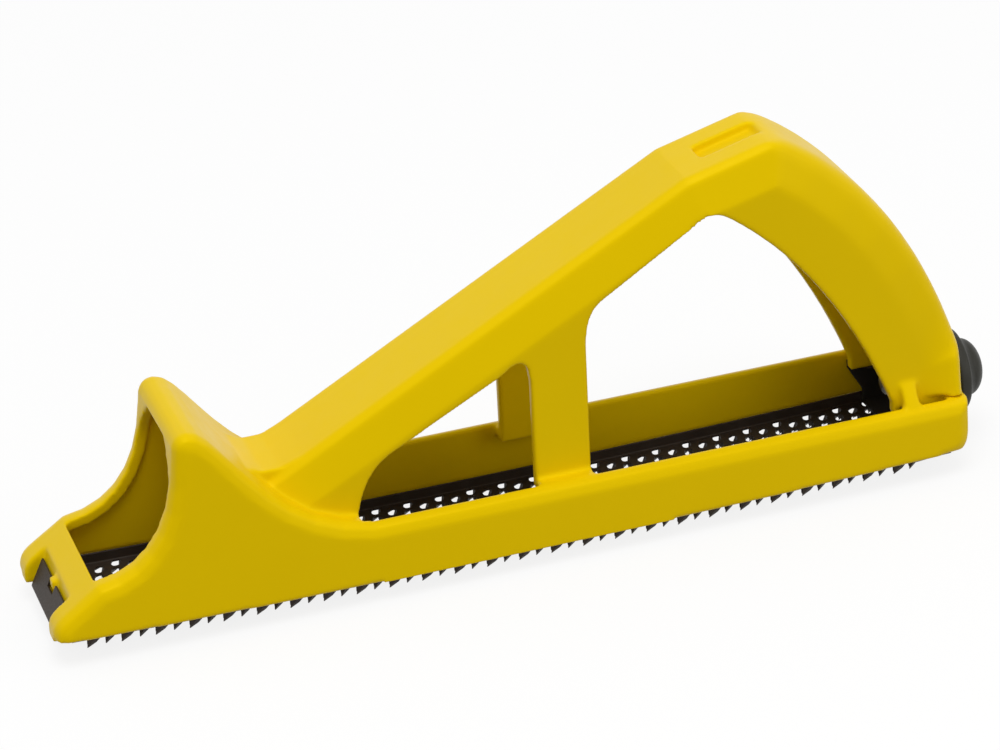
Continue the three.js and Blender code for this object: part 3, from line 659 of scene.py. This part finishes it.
@dataclass
class ToothedBlade:
    """The perforated blade: a bowed channel with rounded bends, punched holes and ground teeth.

    Stations run from the nose, places across from the middle, and heights from the top of the
    sheet at mid-length.
    """

    steel: BlackOxideSteel
    body_length_mm: float = 240.6
    bow_mm: float = 1.9
    start_mm: float = 4.4
    end_mm: float = 236.2
    thickness_mm: float = 0.5
    flange_height_mm: float = 2.7
    bend_mm: float = 0.4          # inside radius
    bend_steps: int = 4
    rim_mm: float = 0.12
    columns: int = 52
    first_column_mm: float = 11.3
    column_pitch_mm: float = 4.25
    column_margin_mm: float = 1.35
    skew_share: float = 0.232
    rows: int = 9
    row_pitch_mm: float = 3.97
    hole_length_mm: float = 2.4
    hole_width_mm: float = 3.2
    hole_points: int = 16
    hole_squareness: float = 0.85
    tooth_reach_mm: float = 3.0   # from the sheet's underside to the tips of the CAD blade
    tooth_depth_mm: float = 2.8
    tooth_lean_mm: float = 0.3
    tooth_taper: float = 0.42
    tooth_crown: float = 0.4      # share of the depth that the edge loses at its two ends
    crown_power: int = 4
    ridge_share: float = 0.2      # depth of a tooth's ridge where its column ends
    edge_from_share: float = 0.25  # how far behind a hole's centre the edge starts
    side_splays_mm: Point = (1.7, 0.3)  # outward lean of the last teeth, short columns first
    side_ridge_shares: Point = (0.7, 0.5)
    side_ridge_splay_mm: float = 0.8
    tab_half_mm: float = 12.0
    tab_fold_mm: float = 0.95
    tab_lean_mm: float = 3.6
    tab_height_mm: float = 8.9
    tab_bend_mm: float = 0.9
    notch_half_mm: float = 2.4
    notch_depth_mm: float = 2.6
    lip_height_mm: float = 6.0
    lip_relief_mm: float = 0.6
    sharp_degrees: float = 32.0
    shift: Vector = field(init=False)     # from the blade's frame to the plane's
    half_pitch: float = field(init=False)
    outer: float = field(init=False)      # half of the width
    flat: float = field(init=False)       # half of the width between the bends
    work: bmesh.types.BMesh = field(init=False)

    def build(self) -> None:
        """Builds and dresses the blade."""
        low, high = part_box("blade")
        rise = (self.thickness_mm + self.tooth_reach_mm) * MM
        self.shift = Vector((high.x - self.end_mm * MM, 0, rise + low.z))
        self.half_pitch = self.row_pitch_mm / 2
        self.outer = high.y / MM
        self.flat = self.outer - self.thickness_mm - self.bend_mm
        self.work = bmesh.new()
        self.add_holes()
        self.add_flanges()
        self.add_front()
        self.add_rear()
        bmesh.ops.remove_doubles(self.work, verts=self.work.verts, dist=MERGE_DISTANCE)
        bmesh.ops.recalc_face_normals(self.work, faces=self.work.faces)
        mesh = bpy.data.meshes.new("toothed_blade")
        self.work.to_mesh(mesh)
        self.work.free()
        piece = link_object("toothed_blade", mesh)
        settle(piece, self.sharp_degrees)
        dress(piece, self.steel.build(), Body.BODY, "blade")

    def bow(self, station: float) -> float:
        """Height that the blade gains towards its ends."""
        from_middle = 2 * station / self.body_length_mm - 1
        return self.bow_mm * from_middle ** 2

    def place(self, station: float, across: float, height: float) -> Vector:
        """Place in the frame of a point of the bowed blade."""
        return Vector((station, across, height + self.bow(station))) * MM + self.shift

    def face(self, *points: Vector) -> None:
        """Adds a face; shared corners are merged at the end."""
        self.work.faces.new([self.work.verts.new(point) for point in points])

    def line_station(self, line: int, across: float) -> float:
        """Station of a dividing line between columns at a place across the blade."""
        middle = self.first_column_mm + line * self.column_pitch_mm - self.column_margin_mm
        return middle + self.skew_share * across

    def ridge(self, line: int, step: int) -> float:
        """Depth of the ridge of a tooth that crosses a dividing line there, or zero.

        Args:
            line: the dividing line's number.
            step: the place across, in half steps of the rows.

        Returns:
            The depth below the sheet in millimetres.
        """
        column = line - 1
        is_tooth = column >= 0 and abs(step) < self.rows and (step + self.rows + column) % 2 == 1
        if not is_tooth:
            return 0.0
        return self.tooth_depth_mm * self.row_value(step, self.side_ridge_shares, self.ridge_share)

    def row_value(self, step: int, at_sides: Point, inside: float) -> float:
        """Picks a tooth's value: last of a short column, last of a long one, or any other."""
        place = abs(step) - self.rows + 2
        return at_sides[place] if place >= 0 else inside

    def across(self, step: int) -> float:
        """Place across the blade of a half step of the rows, held to the flat of the sheet."""
        return max(-self.flat, min(self.flat, step * self.half_pitch))

    def line_point(self, line: int, step: int, is_top: bool) -> Vector:
        """Point of the sheet on a dividing line.

        Args:
            line: the dividing line's number.
            step: the place across, in half steps of the rows.
            is_top: whether the point is on the top of the sheet, not on the underside.

        Returns:
            The point in the frame.
        """
        across = self.across(step)
        station = self.line_station(line, across)
        if is_top:
            return self.place(station, across, 0.0)
        depth = self.ridge(line, step)
        if depth > 0:
            splays = (self.side_ridge_splay_mm, self.side_ridge_splay_mm)
            across += math.copysign(self.row_value(step, splays, 0.0), step)
        return self.place(station, across, -self.thickness_mm - depth)

    def middle_point(self, column: int, step: int) -> Point:
        """Station and place across of the middle between two dividing lines."""
        across = self.across(step)
        return self.line_station(column, across) + self.column_pitch_mm / 2, across

    def hole_loop(self, station: float, across: float) -> list[Point]:
        """Outline of a hole, counter-clockwise, with rounded corners and the skew of its column.

        Args:
            station: station of the hole's centre.
            across: its place across.

        Returns:
            The outline's points, as stations and places across.
        """
        loop = []
        power = self.hole_squareness
        for i in range(self.hole_points):
            angle = TURN * (i + 0.5) / self.hole_points
            swings = (math.cos(angle), math.sin(angle))
            along, aside = (math.copysign(abs(swing) ** power, swing) for swing in swings)
            along *= self.hole_length_mm / 2
            aside *= self.hole_width_mm / 2
            loop.append((station + along + self.skew_share * aside, across + aside))
        return loop

    def add_holes(self) -> None:
        """Adds the flat of the sheet column by column, with its holes and teeth."""
        last = self.rows
        for column in range(self.columns):
            is_short = column % 2
            for step in range(-last + 1 + is_short, last, 2):
                self.add_cell(column, step)
            if is_short:
                self.add_strip(column, -last, -last + 1)
                self.add_strip(column, last, last - 1)

    def add_strip(self, column: int, outer_step: int, inner_step: int) -> None:
        """Adds the plain strip beside a column that is one hole shorter.

        Args:
            column: the column's number.
            outer_step: the strip's outer side, in half steps of the rows.
            inner_step: its inner side.
        """
        centre = self.middle_point(column, inner_step)
        spots = [(column, inner_step), (column, outer_step)]
        spots += [(column + 1, outer_step), (column + 1, inner_step)]
        for is_top in (True, False):
            middle = self.place(*centre, 0.0 if is_top else -self.thickness_mm)
            corners = [self.line_point(line, step, is_top) for line, step in spots]
            for first, second in zip(corners, corners[1:]):
                self.face(middle, first, second)

    def add_cell(self, column: int, step: int) -> None:
        """Adds one hole, the sheet round it and the tooth behind it.

        Args:
            column: the column's number.
            step: the hole's place across, in half steps of the rows.
        """
        lines = [(column, step + i) for i in (1, 0, -1)]
        lines += [(column + 1, step + i) for i in (-1, 0, 1)]
        flat = [(self.line_station(line, self.across(i)), self.across(i)) for line, i in lines]
        top = [self.line_point(line, i, True) for line, i in lines]
        bottom = [self.line_point(line, i, False) for line, i in lines]
        is_behind = [line > column for line, _ in lines]
        for place, i in ((6, step + 1), (3, step - 1)):
            if abs(i) == self.rows:
                continue
            middle = self.middle_point(column, i)
            flat.insert(place, middle)
            top.insert(place, self.place(*middle, 0.0))
            bottom.insert(place, self.place(*middle, -self.thickness_mm))
            is_behind.insert(place, False)
        across = step * self.half_pitch
        centre = (self.line_station(column, across) + self.column_margin_mm, across)
        splay = math.copysign(self.row_value(step, self.side_splays_mm, 0.0), step)
        loop = self.hole_loop(*centre)
        above = [self.place(x, y, 0.0) for x, y in loop]
        below = [self.place(x, y, -self.thickness_mm) for x, y in loop]
        edge = [self.tooth_edge(point, centre, splay) for point in loop]
        triangles = joined_loops(loop, flat, centre)
        is_tooth = [
            all(is_behind[i] if is_outer else edge[i] is not None for is_outer, i in corners)
            for corners in triangles
        ]
        for number, corners in enumerate(triangles):
            self.face(*(top[i] if is_outer else above[i] for is_outer, i in corners))
            inner = edge if is_tooth[number] else below
            self.face(*(bottom[i] if is_outer else inner[i] for is_outer, i in corners))
            own = [i for is_outer, i in corners if not is_outer]
            if is_tooth[number] and len(own) == 2:
                self.face(below[own[0]], below[own[1]], edge[own[1]], edge[own[0]])
            if is_tooth[number] != is_tooth[number - 1]:
                shared = [corner for corner in corners if corner in triangles[number - 1]]
                outer_corner = next(i for is_outer, i in shared if is_outer)
                inner_corner = next(i for is_outer, i in shared if not is_outer)
                self.face(below[inner_corner], edge[inner_corner], bottom[outer_corner])
        for i in range(self.hole_points):
            j = (i + 1) % self.hole_points
            self.face(above[i], above[j], below[j], below[i])

    def tooth_edge(self, point: Point, centre: Point, splay: float) -> Optional[Vector]:
        """Point of the tooth's cutting edge below a point on the rear of its hole.

        Args:
            point: the point of the hole's outline.
            centre: the hole's centre.
            splay: how far the edge leans across the blade.

        Returns:
            The point of the edge, or nothing where the outline isn't at the rear.
        """
        aside = point[1] - centre[1]
        reach = point[0] - centre[0] - self.skew_share * aside
        if reach < self.hole_length_mm * self.edge_from_share:
            return None
        across = centre[1] + aside * self.tooth_taper + splay
        side_share = aside / (self.hole_width_mm / 2)
        depth = self.tooth_depth_mm * (1 - self.tooth_crown * side_share ** self.crown_power)
        return self.place(point[0] - self.tooth_lean_mm, across, -self.thickness_mm - depth)

    def flange_section(self) -> list[Point]:
        """Section of the far flange, from the top of the flat round the rim to the underside.

        Returns:
            The section's points, as places across and heights.
        """
        inner = self.outer - self.thickness_mm
        top = self.flange_height_mm
        reach = self.bend_mm + self.thickness_mm
        arc = quarter_turn(self.bend_steps)
        section = []
        for sine, cosine in arc:
            section.append((self.flat + self.bend_mm * sine, self.bend_mm * (1 - cosine)))
        section += [(inner, top - self.rim_mm), (inner + self.rim_mm, top)]
        section += [(self.outer - self.rim_mm, top), (self.outer, top - self.rim_mm)]
        for sine, cosine in reversed(arc):
            section.append((self.flat + reach * sine, self.bend_mm - reach * cosine))
        return section

    def add_flanges(self) -> None:
        """Adds the two flanges along the sheet and closes their ends."""
        section = self.flange_section()
        for side in (-1, 1):
            edge = side * self.flat
            stations = [self.line_station(line, edge) for line in range(self.columns + 1)]
            stations = [self.start_mm, *stations, self.end_mm]
            for first, second in zip(stations, stations[1:]):
                for (y0, z0), (y1, z1) in zip(section, section[1:]):
                    self.face(
                        self.place(first, side * y0, z0), self.place(second, side * y0, z0),
                        self.place(second, side * y1, z1), self.place(first, side * y1, z1),
                    )
            count = len(section)
            for station in (self.start_mm, self.end_mm):
                ring = [self.place(station, side * y, z) for y, z in section]
                for i in range(count // 2 - 1):
                    self.face(ring[i], ring[i + 1], ring[count - 2 - i], ring[count - 1 - i])

    def add_plain(self, outline: list[Point], line: int) -> None:
        """Fills the plain sheet between an end and the nearest dividing line.

        Args:
            outline: points of the end's edge, from the near side to the far side.
            line: the dividing line's number.
        """
        steps = range(self.rows, -self.rows - 1, -1)
        places = [self.across(step) for step in steps]
        for is_top in (True, False):
            height = 0.0 if is_top else -self.thickness_mm
            points = [self.place(station, across, height) for station, across in outline]
            flat = [Vector((station, across, 0)) for station, across in outline]
            points += [self.line_point(line, step, is_top) for step in steps]
            flat += [Vector((self.line_station(line, across), across, 0)) for across in places]
            for triangle in tessellate_polygon([flat]):
                self.face(*(points[i] for i in triangle))

    def add_wall(self, outline: list[Point]) -> None:
        """Adds the cut edge of the sheet along a line.

        Args:
            outline: the line's points, as stations and places across.
        """
        for (s0, y0), (s1, y1) in zip(outline, outline[1:]):
            self.face(
                self.place(s0, y0, 0.0), self.place(s1, y1, 0.0),
                self.place(s1, y1, -self.thickness_mm), self.place(s0, y0, -self.thickness_mm),
            )

    def add_bent_end(
        self, station: float, path: list[Point], cuts: list[float], notch_from: int,
    ) -> None:
        """Adds a bent end as one strip of sheet that follows a path.

        Args:
            station: where the strip leaves the flat of the sheet.
            path: station and height of the middle of the strip, the first point on the sheet.
            cuts: places across of the strip's sides and of the notch's sides, if it has one.
            notch_from: number of the path's point where the notch starts, or the path's length.
        """
        points = [Vector(point) for point in path]
        skins = []
        for i, point in enumerate(points):
            before = points[max(i - 1, 0)]
            after = points[min(i + 1, len(points) - 1)]
            along = after - before
            if i == 0:
                along.y = 0.0  # the strip leaves the sheet level
            along.normalize()
            normal = Vector((-along.y, along.x)) * self.thickness_mm / 2
            skins.append((point + normal, point - normal))
        rise = self.bow(station)

        def corner(i: int, skin: int, across: float) -> Vector:
            """Point of one of the strip's two skins beside a point of the path."""
            spot = skins[i][skin]
            return Vector((spot.x, across, spot.y + rise)) * MM + self.shift

        for span, (low, high) in enumerate(zip(cuts, cuts[1:])):
            is_notched = len(cuts) > 2 and span == 1
            last = notch_from if is_notched else len(points) - 1
            for i in range(last):
                spots = ((i, low), (i, high), (i + 1, high), (i + 1, low))
                for skin in (0, 1):
                    self.face(*(corner(k, skin, across) for k, across in spots))
            rim = ((0, low), (0, high), (1, high), (1, low))
            self.face(*(corner(last, skin, across) for skin, across in rim))
        for number, across in enumerate(cuts):
            is_inner = 0 < number < len(cuts) - 1
            for i in range(notch_from if is_inner else 0, len(points) - 1):
                spots = ((i, 0), (i + 1, 0), (i + 1, 1), (i, 1))
                self.face(*(corner(k, skin, across) for k, skin in spots))

    def add_front(self) -> None:
        """Adds the plain front of the sheet and the notched tab that hooks over the nose."""
        middle = -self.thickness_mm / 2
        cuts = [-self.tab_half_mm, -self.notch_half_mm, self.notch_half_mm, self.tab_half_mm]
        edge = [-self.flat, *cuts, self.flat]
        self.add_plain([(self.start_mm, across) for across in edge], 0)
        for pair in (edge[:2], edge[-2:]):
            self.add_wall([(self.start_mm, across) for across in pair])
        fold = Vector((self.tab_fold_mm + self.thickness_mm / 2, middle))
        top = Vector((fold.x + self.tab_lean_mm, self.tab_height_mm - self.bow(self.start_mm)))
        rise = (top - fold).normalized()
        path = [(self.start_mm, middle), (fold.x + 2 * self.tab_bend_mm, middle)]
        start = fold + Vector((self.tab_bend_mm, 0))
        end = fold + rise * self.tab_bend_mm
        path += bend(start, fold, end, self.bend_steps)
        notch = top - rise * self.notch_depth_mm
        path += [(notch.x, notch.y), (top.x, top.y)]
        self.add_bent_end(self.start_mm, path, cuts, len(path) - 2)

    def add_rear(self) -> None:
        """Adds the plain rear of the sheet and the lip that hooks behind the clamp."""
        middle = -self.thickness_mm / 2
        root = self.end_mm - self.bend_mm - self.thickness_mm
        half = self.tab_half_mm
        relief = half + self.lip_relief_mm
        outline = [(self.end_mm, -self.flat), (self.end_mm, -relief)]
        outline += [(root, -relief), (root, -half)]
        outline += [(station, -across) for station, across in reversed(outline)]
        self.add_plain(outline, self.columns)
        self.add_wall(outline[:4])
        self.add_wall(outline[4:])
        radius = self.bend_mm + self.thickness_mm / 2
        arc = quarter_turn(self.bend_steps)
        path = [(root + radius * sine, middle + radius * (1 - cosine)) for sine, cosine in arc]
        path.append((root + radius, self.lip_height_mm))
        self.add_bent_end(root, path, [-half, half], len(path))


@dataclass
class TensionClamp:
    """The pressed clamp and the nut on its tongue."""

    steel: BlackOxideSteel
    nut_steel: BlackOxideSteel
    edge_mm: float = 0.25
    edge_segments: int = 2
    level_degrees: float = 1.0    # faces nearer to level than this are one face
    sharp_degrees: float = 30.0
    nut_segments: int = 72
    nut_chamfer_share: float = 0.96
    nut_bore_mm: float = 3.3
    chamfer_degrees: float = 30.0
    chamfer_steps: int = 4

    def build(self) -> None:
        """Builds the clamp and its nut."""
        self.build_clamp()
        self.build_nut()

    def build_clamp(self) -> None:
        """Copies the clamp and softens its sheared edges."""
        piece = merged_copy("tension_clamp", "pressed_clamp")
        flat = piece.modifiers.new("flatten", "DECIMATE")
        flat.decimate_type = "DISSOLVE"
        flat.angle_limit = math.radians(self.level_degrees)
        bevel = piece.modifiers.new("edges", "BEVEL")
        bevel.width = self.edge_mm * MM
        bevel.segments = self.edge_segments
        bevel.limit_method = "ANGLE"
        bevel.angle_limit = math.radians(self.sharp_degrees)
        bevel.harden_normals = False
        settle(piece, self.sharp_degrees)
        dress(piece, self.steel.build(), Body.CLAMP, "tension_clamp")

    def build_nut(self) -> None:
        """Builds the hexagon nut with chamfered corners."""
        low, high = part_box("clamp_nut")
        flat_radius = (high.z - low.z) / 2
        face_radius = flat_radius * self.nut_chamfer_share
        half_side = TURN / 12
        slope = math.tan(math.radians(self.chamfer_degrees))
        reach = (flat_radius / math.cos(half_side) - face_radius) * slope
        bore = self.nut_bore_mm * MM

        def hexagon(station: float, radius: float, angle: float) -> float:
            """Radius of the hexagon, inside the chamfer's cone.

            Args:
                station: the point's station.
                radius: its ring's radius.
                angle: its angle about the axis.

            Returns:
                The point's radius.
            """
            if radius < flat_radius:
                return radius
            across = (angle + half_side) % (2 * half_side) - half_side
            side = flat_radius / math.cos(half_side - abs(across))
            inward = min(station - low.x, high.x - station)
            return min(side, face_radius + inward / slope)

        rings = [(low.x, bore), (low.x, face_radius)]
        steps = [reach * (i + 1) / self.chamfer_steps for i in range(self.chamfer_steps)]
        rings += [(low.x + step, flat_radius) for step in steps]
        rings += [(high.x - step, flat_radius) for step in reversed(steps)]
        rings += [(high.x, face_radius), (high.x, bore)]
        piece = revolved("hexagon_nut", rings, (low.z + high.z) / 2, self.nut_segments, hexagon)
        settle(piece, self.sharp_degrees)
        dress(piece, self.nut_steel.build(), Body.CLAMP, "clamp_nut")


@dataclass
class TensionKnob:
    """The knob, the threaded screw moulded into it and the clip in its groove."""

    plastic: MouldedPlastic
    metal: ZincPlatedSteel
    segments: int = 96
    flange_mm: float = 3.4
    neck_radius_mm: float = 8.8
    dome_radius_mm: float = 7.6
    dome_start_mm: float = 5.8
    dome_steps: int = 16
    edge_mm: float = 1.0
    seat_share: float = 1 / 3     # of the edge; how far the bore reaches behind the flange's face
    groove_share: float = 0.5     # of the edge; the groove between the flange and the dome
    bore_mm: float = 3.3
    pitch_mm: float = 1.0
    thread_depth_mm: float = 0.42
    steps_per_turn: int = 8
    screw_segments: int = 32
    screw_neck_share: float = 0.8
    sharp_degrees: float = 40.0
    clip_bore_share: float = 0.5
    clip_edge_mm: float = 0.15

    def build(self) -> None:
        """Builds the knob, its screw and its clip."""
        self.build_knob()
        self.build_screw()
        self.build_clip()

    def build_knob(self) -> None:
        """Turns the flange and the dome."""
        low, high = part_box("knob")
        flange = (high.z - low.z) / 2
        dome = self.dome_radius_mm * MM
        bore = self.bore_mm * MM
        edge = self.edge_mm * MM
        face = low.x + self.flange_mm * MM
        seat = face + edge * self.seat_share
        start = low.x + self.dome_start_mm * MM
        rings = [(seat, 0.0), (seat, bore), (low.x, bore), (low.x, flange), (face, flange)]
        rings += [(face + edge * self.groove_share, self.neck_radius_mm * MM), (start, dome)]
        rings = rounded(rings, edge)
        for sine, cosine in quarter_turn(self.dome_steps)[1:-1]:
            rings.append((start + (high.x - start) * sine, dome * cosine))
        rings.append((high.x, 0.0))
        piece = revolved("tension_knob", rings, (low.z + high.z) / 2, self.segments)
        settle(piece)
        dress(piece, self.plastic.build(), Body.KNOB, "knob")

    def build_screw(self) -> None:
        """Cuts the thread along the screw, up to the clip's groove."""
        low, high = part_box("tension_screw")
        clip_low, clip_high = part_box("retaining_clip")
        outer = (high.z - low.z) / 2
        pitch = self.pitch_mm * MM
        depth = self.thread_depth_mm * MM
        neck = outer * self.screw_neck_share

        def thread(station: float, radius: float, angle: float) -> float:
            """Radius of the thread, which fades at its two ends.

            Args:
                station: the point's station.
                radius: its ring's radius.
                angle: its angle about the axis.

            Returns:
                The point's radius.
            """
            if radius < outer:
                return radius
            phase = (station / pitch - angle / TURN) % 1
            cut = depth * abs(2 * phase - 1)
            ends = min(station - low.x, clip_low.x - station) / pitch
            return radius - cut * max(0.0, min(1.0, ends))

        rings = [(low.x, 0.0), (low.x, neck)]
        length = clip_low.x - pitch - low.x
        count = int(length / pitch * self.steps_per_turn)
        rings += [(low.x + depth + length * i / count, outer) for i in range(count + 1)]
        rings += [(clip_low.x, neck), (clip_high.x, neck), (clip_high.x, outer)]
        rings += [(high.x, outer), (high.x, 0.0)]
        piece = revolved("threaded_screw", rings, (low.z + high.z) / 2, self.screw_segments, thread)
        settle(piece, self.sharp_degrees)
        dress(piece, self.metal.build(), Body.KNOB, "tension_screw")

    def build_clip(self) -> None:
        """Turns the clip in the screw's groove."""
        low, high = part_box("retaining_clip")
        piece = turned_ring(
            "groove_clip", low, high, self.clip_bore_share, self.clip_edge_mm, self.segments,
        )
        dress(piece, self.metal.build(), Body.KNOB, "retaining_clip")


@dataclass
class Studio:
    """A white floor, two soft lamps, an even sky and the photograph's camera."""

    eye_mm: Vector = field(default_factory=lambda: Vector((-253.4, -775.9, 470.7)))
    azimuth_degrees: float = 17.774
    elevation_degrees: float = 27.645
    roll_degrees: float = 3.01
    lens_mm: float = 133.55
    sensor_mm: float = 36.0
    lamp_direction: Vector = field(default_factory=lambda: Vector((-0.1, -0.3, 0.94)))
    lamp_distance: float = 1.6
    lamp_size: float = 0.9
    lamp_share: float = 0.42      # of the light that shows a colour as written
    side_lamp_place: Vector = field(default_factory=lambda: Vector((0.5, -0.5, 0.3)))
    side_lamp_size: float = 0.45
    side_lamp_share: float = 0.1
    sky_share: float = 0.57
    floor_size: float = 12.0
    floor_gap_mm: float = 0.2
    floor_colour: str = "#ffffff"
    floor_bounce: str = "#9c9c98"
    floor_glow_share: float = 0.84  # keeps the floor white to the camera and its shadow faint

    def build(self) -> None:
        """Builds the floor, the lamps, the sky and the camera."""
        self.build_floor()
        self.build_lamps()
        self.build_sky()
        self.build_camera()
        bpy.context.scene.view_settings.view_transform = "Standard"

    def build_floor(self) -> None:
        """Lays a plain white floor that keeps the shadow."""
        work = bmesh.new()
        bmesh.ops.create_grid(work, x_segments=1, y_segments=1, size=self.floor_size / 2)
        mesh = bpy.data.meshes.new("floor")
        work.to_mesh(mesh)
        work.free()
        floor = link_object("floor", mesh)
        floor.location.z = -self.floor_gap_mm * MM
        material, tree = new_material("white_floor")
        seen = self.seen_share(tree)
        settings = {"data_type": "RGBA", 6: linear(self.floor_bounce), 7: linear(self.floor_colour)}
        colour = add_node(tree, "ShaderNodeMix", settings, {0: seen}).outputs[2]
        matt = add_node(tree, "ShaderNodeBsdfDiffuse", links={"Color": colour})
        settings = {"Color": linear(self.floor_colour), "Strength": 1.0}
        glow = add_node(tree, "ShaderNodeEmission", settings)
        settings = {"operation": "MULTIPLY", 1: self.floor_glow_share}
        share = add_node(tree, "ShaderNodeMath", settings, {0: seen})
        shader = add_node(
            tree, "ShaderNodeMixShader",
            links={0: share.outputs[0], 1: matt.outputs["BSDF"], 2: glow.outputs["Emission"]},
        )
        add_node(tree, "ShaderNodeOutputMaterial", links={"Surface": shader.outputs["Shader"]})
        mesh.materials.append(material)

    def seen_share(self, tree: bpy.types.NodeTree) -> bpy.types.NodeSocket:
        """Tells the rays that see the background from those that light the object.

        Args:
            tree: the node tree.

        Returns:
            A socket that is 1 for camera, glossy and transmission rays, and otherwise 0.
        """
        path = add_node(tree, "ShaderNodeLightPath").outputs
        seen = path["Is Camera Ray"]
        for kind in ("Is Glossy Ray", "Is Transmission Ray"):
            links = {0: seen, 1: path[kind]}
            seen = add_node(tree, "ShaderNodeMath", {"operation": "MAXIMUM"}, links).outputs[0]
        return seen

    def build_lamps(self) -> None:
        """Hangs the large soft lamp and the smaller one on the heel's side."""
        overhead = self.lamp_direction.normalized() * self.lamp_distance
        beside = self.side_lamp_place
        self.build_lamp("soft_lamp", overhead, self.lamp_size, self.lamp_share)
        self.build_lamp("side_lamp", beside, self.side_lamp_size, self.side_lamp_share)

    def build_lamp(self, name: str, place: Vector, size: float, share: float) -> None:
        """Hangs a round lamp that faces the origin.

        Args:
            name: the lamp's name.
            place: where it hangs.
            size: its diameter in metres.
            share: its light at the origin, where 1 shows a colour as written.
        """
        data = bpy.data.lights.new(name, "AREA")
        data.shape = "DISK"
        data.size = size
        data.energy = share * (math.pi * place.length) ** 2
        lamp = bpy.data.objects.new(name, data)
        bpy.context.scene.collection.objects.link(lamp)
        lamp.location = place
        lamp.rotation_euler = place.to_track_quat("Z", "Y").to_euler()

    def build_sky(self) -> None:
        """Sets an even sky that shows white behind the object and in its reflections."""
        world = bpy.data.worlds.new("even_sky")
        world.use_nodes = True
        tree = world.node_tree
        tree.nodes.clear()
        settings = {"To Min": self.sky_share, "To Max": 1.0}
        share = add_node(tree, "ShaderNodeMapRange", settings, {"Value": self.seen_share(tree)})
        settings = {"Color": linear("#ffffff")}
        background = add_node(
            tree, "ShaderNodeBackground", settings, {"Strength": share.outputs["Result"]},
        )
        add_node(tree, "ShaderNodeOutputWorld", links={"Surface": background.outputs["Background"]})
        bpy.context.scene.world = world

    def build_camera(self) -> None:
        """Sets the photograph's camera."""
        turn = math.radians(self.azimuth_degrees)
        tilt = math.radians(self.elevation_degrees)
        roll = math.radians(self.roll_degrees)
        level = Vector((math.cos(turn), -math.sin(turn), 0))
        lift = math.sin(tilt)
        upward = Vector((math.sin(turn) * lift, math.cos(turn) * lift, math.cos(tilt)))
        right = level * math.cos(roll) - upward * math.sin(roll)
        up = upward * math.cos(roll) + level * math.sin(roll)
        back = right.cross(up)
        data = bpy.data.cameras.new("photo_camera")
        data.lens = self.lens_mm
        data.sensor_width = self.sensor_mm
        camera = bpy.data.objects.new("photo_camera", data)
        bpy.context.scene.collection.objects.link(camera)
        turned = Matrix((right, up, back)).transposed().to_4x4()
        camera.matrix_world = Matrix.Translation(self.eye_mm * MM) @ turned
        bpy.context.scene.camera = camera


def main() -> None:
    """Builds the plane and the studio."""
    logging.basicConfig(level=logging.INFO)
    yellow = MouldedPlastic(
        "yellow_moulded_abs", "#f0cc00", "#ebc600", roughness=0.4, gloss_tint="#ffe040",
    )
    black = MouldedPlastic(
        "black_moulded_abs", "#26251b", "#1e1d16", roughness=0.45, grain_height_mm=0.02,
    )
    zinc = ZincPlatedSteel("zinc_plated_steel")
    MouldedBody(yellow, zinc).build()
    blade_steel = BlackOxideSteel(
        "black_oxide_blade", "#3f352d", "#2b241f", "#4a4138", worn_below_mm=1.6,
    )
    ToothedBlade(blade_steel).build()
    clamp_steel = BlackOxideSteel("black_oxide_pressing", "#2b2825", "#211f1d", "#2b2825")
    TensionClamp(clamp_steel, clamp_steel).build()
    TensionKnob(black, zinc).build()
    Studio().build()


if __name__ == "__main__":
    main()
